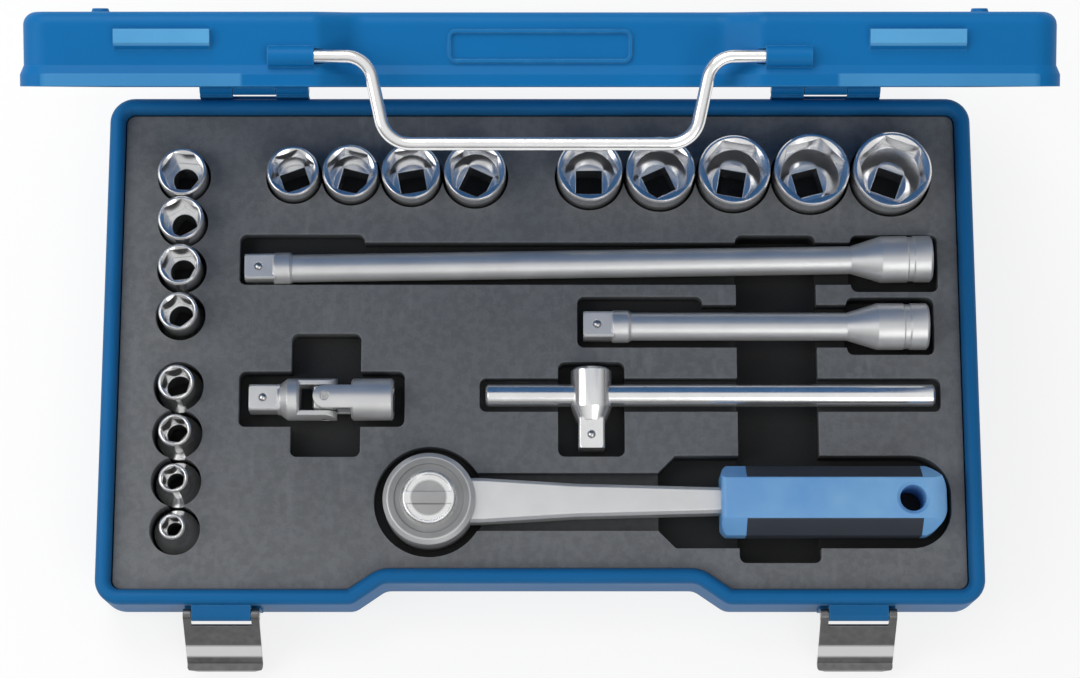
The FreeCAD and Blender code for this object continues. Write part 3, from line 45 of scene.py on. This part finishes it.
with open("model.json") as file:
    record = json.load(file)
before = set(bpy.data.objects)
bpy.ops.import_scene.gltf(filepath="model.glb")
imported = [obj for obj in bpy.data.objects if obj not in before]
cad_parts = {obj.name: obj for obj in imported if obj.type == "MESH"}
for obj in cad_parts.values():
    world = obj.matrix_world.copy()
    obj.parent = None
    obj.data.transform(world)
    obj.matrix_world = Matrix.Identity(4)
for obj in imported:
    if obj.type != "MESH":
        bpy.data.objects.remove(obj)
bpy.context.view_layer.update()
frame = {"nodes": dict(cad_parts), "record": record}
NODES = frame["nodes"]
RECORD = frame["record"]
SLOT_COLOURS = {entry["slot"]: tuple(entry["base_color"][:3]) for entry in RECORD["materials"]}
SLOT_OF_NODE = {entry["node"]: entry["material_slot"] for entry in RECORD["subparts"]}
MM = 0.001

# Soft edges, and where painted highlights and painted shade go
EDGE_ROUND = 0.5 * MM
# Where the painted highlight on the lid's catches goes
CATCH_FROM = 90 * MM
CATCH_FACE_DEPTH = 0.8 * MM
CATCH_BLUR_SQUARED = 100 * MM * MM
POCKET_SHADE = (7 * MM, 0.3 * MM)
# Band of painted highlight on the latch levers' lips
LEVER_LIP = (4.6 * MM, 8.0 * MM)
# Rings of painted shade on the ratchet's reversing disc and head
DISC_DISH_INSET = 3.2 * MM
HEAD_RING = (0.5 * MM, 5.0 * MM)

# Springs
COIL_STEPS = 20
WIRE_SIDES = 8
SPRINGS = (
    ("long_extension_spring", "long_extension"),
    ("short_extension_spring", "short_extension"),
    ("t_head_spring", "t_head"),
    ("joint_spring", "joint_drive"),
    ("ratchet_ball_spring", "ratchet_drive"),
)

# Stage
FLOOR_SIZE = 6.0
FLOOR_GLOW = 0.8
SENSOR_WIDTH = 36.0
ROOF = {"From Min": 0.15, "From Max": 0.8, "To Min": 0.12, "To Max": 0.8}
LAMPS = (
    ("lamp_rear", (-0.35, 0.95, 1.3), 0.9, 11.0),
    ("lamp_left", (-1.1, -0.1, 0.9), 0.9, 6.0),
    ("lamp_front", (0.6, -1.1, 1.0), 0.9, 5.0),
)
LAMP_TARGET = (0.0, 0.02, 0.03)


def colour_property(name, description, default):
    return FloatVectorProperty(
        name=name, description=description, subtype="COLOR", size=3, min=0.0, max=1.0, default=default
    )


def slot_property(slot, name, description):
    """A colour that starts as the frame's colour of a material slot."""
    return colour_property(name, description, SLOT_COLOURS[slot])


def length_property(name, description, millimetres):
    return FloatProperty(
        name=name, description=description, subtype="DISTANCE", unit="LENGTH",
        default=millimetres * MM, min=0.0
    )


class CaseLook(bpy.types.PropertyGroup):
    """Colours and grain of the case and its tray"""

    enamel: slot_property("blue_enamel", "Enamel", "Baked enamel on the base, the lid and the hinges")
    # Paler enamel used as a painted highlight on edges and on the lid's catches
    highlight_enamel: colour_property("Pale enamel", "Enamel on rubbed edges and catches", (0.13, 0.43, 0.74))
    # Darker enamel used as painted shade on the base below the rim
    painted_shade: colour_property("Dull enamel", "Handled enamel below the rim", (0.02, 0.085, 0.17))
    tray: slot_property("tray_plastic", "Tray", "Grained plastic of the moulded tray")
    zinc: slot_property("zinc_plate", "Zinc", "Zinc plate of the latch levers")
    steel: slot_property("bright_steel", "Steel", "Bare steel of pins and rivets")
    orange_peel: length_property("Orange peel", "Width of the waves in the enamel", 1.6)
    tray_grain: length_property("Tray grain", "Width of the grain pressed into the tray", 0.7)


class ToolLook(bpy.types.PropertyGroup):
    """Colours of the tools and sizes of their small details"""

    polished: slot_property("polished_chrome", "Polished chrome", "Chrome of sockets, handle and T-bar")
    satin: slot_property("satin_chrome", "Satin chrome", "Chrome plate of bars, joint and ratchet")
    spring: slot_property("spring_steel", "Spring steel", "Oiled steel of springs and pawl")
    grip: slot_property("grip_blue", "Grip", "Moulded plastic of the ratchet's grip")
    # Paler grip colour used in patches as a painted highlight
    grip_highlight: colour_property("Rubbed grip", "Grip where the hand lies", (0.27, 0.55, 0.83))
    soft: slot_property("grip_soft", "Soft panels", "Rubber panels at the sides of the grip")
    coil_turns: IntProperty(name="Coil turns", description="Turns of each detent spring", default=5, min=2)
    wire: length_property("Spring wire", "Diameter of the detent springs' wire", 0.32)


class StageLook(bpy.types.PropertyGroup):
    """Camera, floor and lamps"""

    tilt: FloatProperty(
        name="Tilt", description="Angle of the camera from straight down", subtype="ANGLE",
        default=math.radians(12.607)
    )
    place: FloatVectorProperty(
        name="Camera", description="Where the camera stands", subtype="TRANSLATION", size=3,
        default=(0.0, -0.2212, 1.0266)
    )
    lens: FloatProperty(
        name="Lens", description="Focal length in millimetres", subtype="DISTANCE_CAMERA",
        default=94.68, min=1.0
    )
    floor: colour_property("Floor", "Colour of the floor", (0.92, 0.92, 0.92))
    fill: FloatProperty(name="Fill", description="Strength of the light all round", default=0.45, min=0.0)


class Value:
    """A node's output; arithmetic on it adds Math nodes."""

    def __init__(self, owner, socket):
        self.owner = owner
        self.socket = socket

    def math(self, operation, first, second):
        return self.owner.node("ShaderNodeMath", {"operation": operation}, {0: first, 1: second})

    def __add__(self, other):
        return self.math("ADD", self, other)

    __radd__ = __add__

    def __sub__(self, other):
        return self.math("SUBTRACT", self, other)

    def __rsub__(self, other):
        return self.math("SUBTRACT", other, self)

    def __mul__(self, other):
        return self.math("MULTIPLY", self, other)

    __rmul__ = __mul__

    def __pow__(self, other):
        return self.math("POWER", self, other)


class NodeTree:
    """Adds nodes to a tree and feeds their sockets."""

    def __init__(self, tree):
        self.tree = tree

    def feed(self, socket, value):
        if isinstance(value, Value):
            self.tree.links.new(value.socket, socket)
        else:
            socket.default_value = value

    def node(self, kind, settings=None, inputs=None, output=0):
        """A node with its settings, then the values or links of its sockets."""
        node = self.tree.nodes.new(kind)
        for name, value in (settings or {}).items():
            if name == "stops":
                self.set_stops(node.color_ramp, value)
            else:
                setattr(node, name, value)
        for name, value in (inputs or {}).items():
            self.feed(node.inputs[name], value)
        return Value(self, node.outputs[output])

    @staticmethod
    def set_stops(ramp, stops):
        while len(ramp.elements) < len(stops):
            ramp.elements.new(1.0)
        for element, (position, level) in zip(ramp.elements, stops):
            element.position = position
            element.color = (level, level, level, 1.0)

    def ray(self, kind):
        """One for rays of a kind, nothing for others."""
        return self.node("ShaderNodeLightPath", output="Is %s Ray" % kind)


class Finish(NodeTree):
    """One procedural material: its shader and the nodes that feed it."""

    def __init__(self, name):
        self.material = bpy.data.materials.new(name)
        self.material.use_nodes = True
        super().__init__(self.material.node_tree)
        self.shader = self.tree.nodes["Principled BSDF"]
        self.place = self.node("ShaderNodeTexCoord", output="Object")

    def noise(self, width, detail=2.0, stretch=None):
        """Soft noise whose waves are about width metres wide, drawn out along an axis by stretch."""
        place = self.place
        if stretch:
            place = self.node("ShaderNodeMapping", None, {"Vector": place, "Scale": stretch})
        inputs = {"Vector": place, "Scale": 1.0 / width, "Detail": detail}
        return self.node("ShaderNodeTexNoise", None, inputs)

    def cells(self, width):
        """Distance from the middle of small cells, for pressed grain."""
        return self.node("ShaderNodeTexVoronoi", None, {"Vector": self.place, "Scale": 1.0 / width})

    def ramp(self, value, stops):
        return self.node("ShaderNodeValToRGB", {"stops": stops}, {"Fac": value})

    def mix(self, amount, first, second):
        """A colour between two colours."""
        inputs = {0: amount, 6: opaque(first), 7: opaque(second)}
        return self.node("ShaderNodeMix", {"data_type": "RGBA"}, inputs, output=2)

    def along(self, axis):
        """One coordinate of a point, in metres."""
        return self.node("ShaderNodeSeparateXYZ", None, {0: self.place}, output=axis)

    def height(self):
        """Height above the floor, in metres."""
        return self.along(2)

    def above(self, value, limit, blur):
        """Nothing below a limit, one above it, with a soft step between."""
        ends = {"Value": value, "From Min": limit - blur, "From Max": limit + blur}
        return self.node("ShaderNodeMapRange", None, ends)

    def band(self, axis, low, high, blur=0.4 * MM):
        """One between two coordinates along an axis."""
        value = self.along(axis)
        return self.above(value, low, blur) * (1.0 - self.above(value, high, blur))

    def ring(self, middle, inner, outer, blur=0.35 * MM):
        """One between two distances from an upright line through middle."""
        across = self.along(0) - middle[0]
        deep = self.along(1) - middle[1]
        reach = (across * across + deep * deep) ** 0.5
        return self.above(reach, inner, blur) * (1.0 - self.above(reach, outer, blur))

    def raised_spots(self, out_from, tilt, level):
        """One on faces farther out than out_from that stand higher than level along a tilted normal."""
        aside = self.along(0) ** 2.0
        rise = self.along(2) * math.sin(tilt) - self.along(1) * math.cos(tilt)
        return self.above(aside, out_from ** 2, CATCH_BLUR_SQUARED) * self.above(rise, level, 0.2 * MM)

    def rounded(self, radius):
        """A normal that runs smoothly round edges."""
        return self.node("ShaderNodeBevel", {"samples": 4}, {"Radius": radius})

    def edge_wear_and_highlight(self, radius):
        """One on sharp edges, nothing on flat faces."""
        flat = self.node("ShaderNodeNewGeometry", output="Normal")
        both = {0: self.rounded(radius), 1: flat}
        facing = self.node("ShaderNodeVectorMath", {"operation": "DOT_PRODUCT"}, both, output="Value")
        return self.ramp(1.0 - facing, ((0.02, 0.0), (0.25, 1.0)))

    def bump(self, height, strength, distance, normal=None):
        inputs = {"Height": height, "Strength": strength, "Distance": distance}
        if normal:
            inputs["Normal"] = normal
        return self.node("ShaderNodeBump", None, inputs)

    def shade(self, **inputs):
        """Feeds the shader's sockets, named with underscores for spaces."""
        for name, value in inputs.items():
            self.feed(self.shader.inputs[name.replace("_", " ")], value)
        return self.material


def opaque(colour):
    if isinstance(colour, Value):
        return colour
    return (colour[0], colour[1], colour[2], 1.0)


def toned(colour, factor):
    """A colour made darker or lighter."""
    return tuple(min(1.0, channel * factor) for channel in colour)


def lid_tilt():
    """How far the lid stands open at rest."""
    joints = RECORD["behaviour"]["joints"]
    hinge = next(joint for joint in joints if joint["name"] == "lid_hinge")
    return -math.radians(hinge["range_deg"][0])


def highest_catch(out_from, tilt):
    """Level of the catches' faces along the normal of the lid's front wall."""
    lid = NODES["lid_shell"]
    points = [lid.matrix_world @ vertex.co for vertex in lid.data.vertices]
    return max(
        point.z * math.sin(tilt) - point.y * math.cos(tilt) for point in points if abs(point.x) > out_from
    )


def middle_of(node):
    low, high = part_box(node)
    return [(low[axis] + high[axis]) / 2 for axis in range(3)]


def half_width(node):
    low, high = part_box(node)
    return (high[0] - low[0]) / 2


def enamel_finish(look, highlight_and_tone_spots, rim):
    """Baked enamel: faint orange peel, cloudy gloss, painted shade below the rim, and a painted highlight
    on edges and raised spots.
    """
    finish = Finish("blue_enamel")
    clouds = finish.noise(28 * MM, 4.0)
    waves = finish.noise(look.orange_peel, 1.0)
    edges = finish.edge_wear_and_highlight(0.9 * MM) * finish.noise(3 * MM, 3.0)
    paint = finish.mix(clouds, toned(look.enamel, 1.02), toned(look.enamel, 1.26))
    # Painted shade: enamel below the rim darkened, in cloudy patches
    below_rim_shade = 1.0 - finish.above(finish.height(), rim, 1.0 * MM)
    paint = finish.mix(below_rim_shade * (0.25 + 0.3 * finish.noise(40 * MM, 3.0)), paint, look.painted_shade)
    # Painted highlight: paler enamel on edges, in patches
    paint = finish.mix(edges * 0.6, paint, look.highlight_enamel)
    # Painted highlight: paler enamel on the faces of the lid's catches
    paint = finish.mix(finish.raised_spots(*highlight_and_tone_spots) * (0.55 + 0.4 * clouds), paint, look.highlight_enamel)
    rough = 0.4 + 0.14 * clouds + 0.1 * edges
    normal = finish.bump(waves, 0.12, 0.15 * MM, finish.rounded(EDGE_ROUND))
    return finish.shade(
        Base_Color=paint, Roughness=rough, Normal=normal, Metallic=0.0, Specular_IOR_Level=0.14
    )


def tray_finish(colour, grain, top):
    """Grained plastic, scuffed paler on its top face, a painted highlight on its edges, painted shade down
    in the pockets.
    """
    finish = Finish("tray_plastic")
    cells = finish.cells(grain)
    specks = finish.noise(grain * 0.6, 3.0)
    mottle = finish.noise(2.6 * MM, 4.0)
    clouds = finish.noise(22 * MM, 4.0)
    scuffs = finish.ramp(finish.noise(4 * MM, 5.0, (1.0, 0.22, 1.0)), ((0.58, 0.0), (0.75, 1.0)))
    # One on the top face, nothing deep in the pockets, to place painted shade
    unshaded_top = finish.node(
        "ShaderNodeMapRange", None,
        {"Value": finish.height(), "From Min": top - POCKET_SHADE[0], "From Max": top - POCKET_SHADE[1]}
    )
    plastic = finish.mix(specks, toned(colour, 0.75), toned(colour, 1.3))
    plastic = finish.mix(finish.ramp(mottle, ((0.4, 0.0), (0.6, 1.0))) * 0.6, plastic, toned(colour, 0.66))
    plastic = finish.mix(clouds * 0.5, plastic, toned(colour, 1.25))
    plastic = finish.mix(scuffs * unshaded_top * 0.25, plastic, toned(colour, 1.8))
    # Painted highlight: lighter plastic on the pockets' top edges
    plastic = finish.mix(finish.edge_wear_and_highlight(1.1 * MM) * unshaded_top * 0.6, plastic, toned(colour, 2.0))
    # Painted shade: the pockets darkened far down
    plastic = finish.mix(unshaded_top, toned(colour, 0.14), plastic)
    rough = 0.55 + 0.2 * specks
    normal = finish.bump(cells + 0.5 * specks, 0.5, 0.12 * MM, finish.rounded(0.9 * MM))
    return finish.shade(
        Base_Color=plastic, Roughness=rough, Normal=normal, Metallic=0.0, Specular_IOR_Level=0.3
    )


def chrome_finish(name, colour, rough, metal, middle, shaded_ring):
    """Chrome plate: hazy patches, hair scratches, buffed edges, and a ring about a middle darkened with
    painted shade and made rougher.
    """
    finish = Finish(name)
    patches = finish.noise(9 * MM, 4.0)
    hairs = finish.noise(1.2 * MM, 3.0, (0.12, 1.0, 1.0))
    prints = finish.ramp(finish.noise(5 * MM, 5.0), ((0.45, 0.0), (0.8, 1.0)))
    plate = finish.mix(patches, toned(colour, 0.9), toned(colour, 1.08))
    # Painted shade: a ring about the middle darkened, and made rougher
    painted_shade = finish.ring(middle, *shaded_ring)
    plate = finish.mix(painted_shade * (0.7 + 0.3 * patches), plate, toned(colour, 0.3))
    gloss = rough + 0.07 * patches + 0.06 * prints + 0.2 * painted_shade
    normal = finish.bump(hairs, 0.06, 0.05 * MM, finish.rounded(EDGE_ROUND))
    return finish.shade(Base_Color=plate, Roughness=gloss, Normal=normal, Metallic=metal)


def steel_finish(name, colour, rough, spangle, lip=None):
    """Plated or bare steel with a spangle of crystals, edges lighter from wear and painted highlight and,
    if given, a painted highlight on a lip along X.
    """
    finish = Finish(name)
    crystals = finish.node(
        "ShaderNodeTexVoronoi", {"feature": "SMOOTH_F1"}, {"Vector": finish.place, "Scale": 1.0 / spangle}
    )
    grime = finish.ramp(finish.noise(6 * MM, 5.0), ((0.4, 0.0), (0.85, 1.0)))
    edges = finish.edge_wear_and_highlight(0.6 * MM)
    metal = finish.mix(crystals, toned(colour, 0.82), toned(colour, 1.15))
    metal = finish.mix(grime * 0.35, metal, toned(colour, 0.5))
    # Lighter edges: partly wear, partly painted highlight
    metal = finish.mix(edges * 0.6, metal, toned(colour, 1.7))
    shine = 1.0
    if lip:
        # Painted highlight: a band across the lever's lip made much lighter and less metallic
        lip_highlight = finish.band(1, *lip)
        metal = finish.mix(lip_highlight * 0.9, metal, toned(colour, 4.6))
        shine = 1.0 - lip_highlight * 0.8
    gloss = rough + 0.14 * grime - 0.08 * edges
    normal = finish.bump(finish.noise(1.0 * MM, 2.0), 0.08, 0.05 * MM, finish.rounded(EDGE_ROUND))
    return finish.shade(Base_Color=metal, Roughness=gloss, Normal=normal, Metallic=shine)


def grip_finish(name, colour, rough, grain, patch_colour):
    """Moulded grip: fine spark-eroded grain, rougher patches of a second colour, and a painted highlight on
    edges; on the blue grip the patches are paler, a painted highlight.
    """
    finish = Finish(name)
    grains = finish.noise(grain, 2.0)
    highlight_and_tone_spots = finish.noise(18 * MM, 3.0)
    # Patches of a second colour; on the blue grip they are paler, a painted highlight
    plastic = finish.mix(highlight_and_tone_spots, colour, patch_colour)
    # Painted highlight on edges
    plastic = finish.mix(finish.edge_wear_and_highlight(1.2 * MM) * 0.35, plastic, toned(colour, 1.6))
    gloss = rough + 0.16 * highlight_and_tone_spots + 0.06 * grains
    normal = finish.bump(grains, 0.2, 0.06 * MM, finish.rounded(EDGE_ROUND))
    return finish.shade(Base_Color=plastic, Roughness=gloss, Normal=normal, Metallic=0.0)


def dress(slot, material):
    """Gives a finish to every CAD node of a material slot."""
    for name, node_slot in SLOT_OF_NODE.items():
        if node_slot == slot:
            mesh = NODES[name].data
            mesh.materials.clear()
            mesh.materials.append(material)


def deselect():
    if bpy.context.object and bpy.context.object.mode != "OBJECT":
        bpy.ops.object.mode_set(mode="OBJECT")
    bpy.ops.object.select_all(action="DESELECT")


def settle(piece):
    """Puts a piece's place, turn and size into its mesh."""
    deselect()
    piece.select_set(True)
    bpy.context.view_layer.objects.active = piece
    bpy.ops.object.transform_apply(location=True, rotation=True, scale=True)


def fit_piece(piece, name, body, material, stands_for=()):
    """Names a finished piece, dresses it and lets it ride on its body."""
    piece.name = name
    piece.data.name = name
    piece.data.materials.clear()
    piece.data.materials.append(material)
    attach(piece, body)
    if stands_for:
        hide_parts(*stands_for)


class SOCKETSET_OT_case(bpy.types.Operator):
    """Finishes the base, the lid, the hinges and the latches"""

    bl_idname = "socketset.case"
    bl_label = "Case"

    def execute(self, context):
        look = context.scene.socketset_case
        tilt = lid_tilt()
        # Where the painted highlight on the catches goes
        highlight_and_tone_spots = (CATCH_FROM, tilt, highest_catch(CATCH_FROM, tilt) - CATCH_FACE_DEPTH)
        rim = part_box("base_shell")[1][2]
        dress("blue_enamel", enamel_finish(look, highlight_and_tone_spots, rim))
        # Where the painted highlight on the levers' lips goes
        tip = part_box("latch_lever_left")[0][1]
        lip = [tip + distance for distance in LEVER_LIP]
        dress("zinc_plate", steel_finish("zinc_plate", toned(look.zinc, 0.38), 0.38, 2.2 * MM, lip))
        dress("bright_steel", steel_finish("bright_steel", look.steel, 0.24, 1.0 * MM))
        return {"FINISHED"}


class SOCKETSET_OT_tray(bpy.types.Operator):
    """Finishes the moulded tray"""

    bl_idname = "socketset.tray"
    bl_label = "Tray"

    def execute(self, context):
        look = context.scene.socketset_case
        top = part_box("tool_tray")[1][2]
        dress("tray_plastic", tray_finish(look.tray, look.tray_grain, top))
        return {"FINISHED"}


class SOCKETSET_OT_tools(bpy.types.Operator):
    """Finishes the sockets, the bars, the universal joint and the ratchet"""

    bl_idname = "socketset.tools"
    bl_label = "Tools"

    def execute(self, context):
        look = context.scene.socketset_tools
        # Rings of painted shade: the dish of the reversing disc and a ring round the ratchet head
        middle = middle_of("ratchet_reversing_disc")
        disc = half_width("ratchet_reversing_disc")
        dished = (-disc, disc - DISC_DISH_INSET)
        head = [disc + distance for distance in HEAD_RING]
        polished = toned(look.polished, 1.15)
        dress("polished_chrome", chrome_finish("polished_chrome", polished, 0.14, 0.9, middle, dished))
        dress("satin_chrome", chrome_finish("satin_chrome", look.satin, 0.34, 0.7, middle, head))
        dress("spring_steel", steel_finish("spring_steel", look.spring, 0.3, 0.8 * MM))
        # The blue grip's paler patches and edges are a painted highlight
        dress("grip_blue", grip_finish("grip_blue", look.grip, 0.3, 0.35 * MM, look.grip_highlight))
        dress("grip_soft", grip_finish("grip_soft", look.soft, 0.55, 0.5 * MM, toned(look.soft, 0.6)))
        return {"FINISHED"}


class SOCKETSET_OT_springs(bpy.types.Operator):
    """Winds a coil spring in place of each plain detent sleeve"""

    bl_idname = "socketset.springs"
    bl_label = "Detent springs"

    def execute(self, context):
        look = context.scene.socketset_tools
        material = bpy.data.materials["spring_steel"]
        for node, body in SPRINGS:
            low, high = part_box(node)
            piece = self.wind(look, [high[axis] - low[axis] for axis in range(3)])
            piece.location = [(low[axis] + high[axis]) / 2 for axis in range(3)]
            settle(piece)
            fit_piece(piece, node + "_coil", body, material, (node,))
        return {"FINISHED"}

    @staticmethod
    def wind(look, size):
        """A coil with closed wire ends, about the origin, along X if X is the longest side of its box."""
        along_x = size[0] > size[1] + 0.1 * MM
        length = size[0] if along_x else size[2]
        radius = size[1] / 2 - look.wire / 2
        rise = length - look.wire
        deselect()
        bpy.ops.mesh.primitive_circle_add(
            vertices=WIRE_SIDES, radius=look.wire / 2, location=(radius, 0, 0), rotation=(math.pi / 2, 0, 0)
        )
        piece = bpy.context.object
        settle(piece)
        screw = piece.modifiers.new("turns", "SCREW")
        screw.axis = "Z"
        screw.angle = 2 * math.pi * look.coil_turns
        screw.screw_offset = rise
        screw.steps = COIL_STEPS * look.coil_turns
        screw.render_steps = screw.steps
        bpy.ops.object.modifier_apply(modifier=screw.name)
        bpy.ops.object.mode_set(mode="EDIT")
        bpy.ops.mesh.select_all(action="SELECT")
        bpy.ops.mesh.fill_holes(sides=WIRE_SIDES)
        bpy.ops.mesh.select_all(action="SELECT")
        bpy.ops.mesh.normals_make_consistent(inside=False)
        bpy.ops.object.mode_set(mode="OBJECT")
        piece.location = (0, 0, -rise / 2)
        settle(piece)
        if along_x:
            piece.rotation_euler = (0, math.pi / 2, 0)
            settle(piece)
        bpy.ops.object.shade_smooth()
        return piece


class SOCKETSET_OT_stage(bpy.types.Operator):
    """Sets up the floor, the lamps and the camera"""

    bl_idname = "socketset.stage"
    bl_label = "Stage"

    def execute(self, context):
        look = context.scene.socketset_stage
        self.lay_floor(look)
        for name, place, width, power in LAMPS:
            self.hang_lamp(name, place, width, power)
        self.light_all_round(context.scene, look)
        deselect()
        bpy.ops.object.camera_add(location=look.place, rotation=(look.tilt, 0, 0))
        camera = bpy.context.object
        camera.data.sensor_width = SENSOR_WIDTH
        camera.data.lens = look.lens
        context.scene.camera = camera
        context.scene.view_settings.view_transform = "Standard"
        return {"FINISHED"}

    @staticmethod
    def lay_floor(look):
        deselect()
        bpy.ops.mesh.primitive_plane_add(size=FLOOR_SIZE)
        floor = bpy.context.object
        floor.name = "floor"
        finish = Finish("floor_white")
        finish.shade(Base_Color=opaque(look.floor), Roughness=0.9, Specular_IOR_Level=0.1)
        glow = finish.node("ShaderNodeEmission", None, {"Color": (1, 1, 1, 1), "Strength": 1.0})
        amount = FLOOR_GLOW * (finish.ray("Camera") + finish.ray("Glossy") + finish.ray("Transmission"))
        shader = Value(finish, finish.shader.outputs[0])
        both = finish.node("ShaderNodeMixShader", None, {0: amount, 1: shader, 2: glow})
        finish.feed(finish.tree.nodes["Material Output"].inputs["Surface"], both)
        floor.data.materials.append(finish.material)

    @staticmethod
    def hang_lamp(name, place, width, power):
        deselect()
        bpy.ops.object.light_add(type="AREA", location=place)
        lamp = bpy.context.object
        lamp.name = name
        lamp.data.shape = "SQUARE"
        lamp.data.size = width
        lamp.data.energy = power
        aim = Vector(LAMP_TARGET) - lamp.location
        lamp.rotation_euler = aim.to_track_quat("-Z", "Y").to_euler()

    @staticmethod
    def light_all_round(scene, look):
        """White to the camera, a bright roof over dark walls to metal, and an even fill for all else."""
        world = bpy.data.worlds.new("studio")
        scene.world = world
        world.use_nodes = True
        studio = NodeTree(world.node_tree)
        place = studio.node("ShaderNodeTexCoord", output="Generated")
        up = studio.node("ShaderNodeSeparateXYZ", None, {0: place}, output=2)
        roof = studio.node("ShaderNodeMapRange", None, dict(ROOF, Value=up))
        mirrored = studio.ray("Glossy") + studio.ray("Transmission")
        ends = {"Value": mirrored, "To Min": look.fill, "To Max": roof}
        unseen = studio.node("ShaderNodeMapRange", None, ends)
        ends = {"Value": studio.ray("Camera"), "To Min": unseen, "To Max": 1.0}
        strength = studio.node("ShaderNodeMapRange", None, ends)
        background = studio.tree.nodes["Background"]
        studio.feed(background.inputs["Color"], (1, 1, 1, 1))
        studio.feed(background.inputs["Strength"], strength)


class SOCKETSET_PT_panel(bpy.types.Panel):
    """Lists the pieces of the set and their settings"""

    bl_idname = "SOCKETSET_PT_panel"
    bl_label = "Socket set"
    bl_space_type = "VIEW_3D"
    bl_region_type = "UI"
    bl_category = "Socket set"

    def draw(self, context):
        for operator in OPERATORS:
            self.layout.operator(operator.bl_idname)
        scene = context.scene
        for group in (scene.socketset_case, scene.socketset_tools, scene.socketset_stage):
            column = self.layout.column()
            for name in group.__annotations__:
                column.prop(group, name)


GROUPS = (CaseLook, ToolLook, StageLook)
OPERATORS = (
    SOCKETSET_OT_case,
    SOCKETSET_OT_tray,
    SOCKETSET_OT_tools,
    SOCKETSET_OT_springs,
    SOCKETSET_OT_stage,
)


def register():
    for item in GROUPS + OPERATORS + (SOCKETSET_PT_panel,):
        bpy.utils.register_class(item)
    bpy.types.Scene.socketset_case = PointerProperty(type=CaseLook)
    bpy.types.Scene.socketset_tools = PointerProperty(type=ToolLook)
    bpy.types.Scene.socketset_stage = PointerProperty(type=StageLook)


def unregister():
    del bpy.types.Scene.socketset_stage
    del bpy.types.Scene.socketset_tools
    del bpy.types.Scene.socketset_case
    for item in reversed(GROUPS + OPERATORS + (SOCKETSET_PT_panel,)):
        bpy.utils.unregister_class(item)


def main():
    register()
    bpy.ops.socketset.case()
    bpy.ops.socketset.tray()
    bpy.ops.socketset.tools()
    bpy.ops.socketset.springs()
    bpy.ops.socketset.stage()


if __name__ == "__main__":
    main()
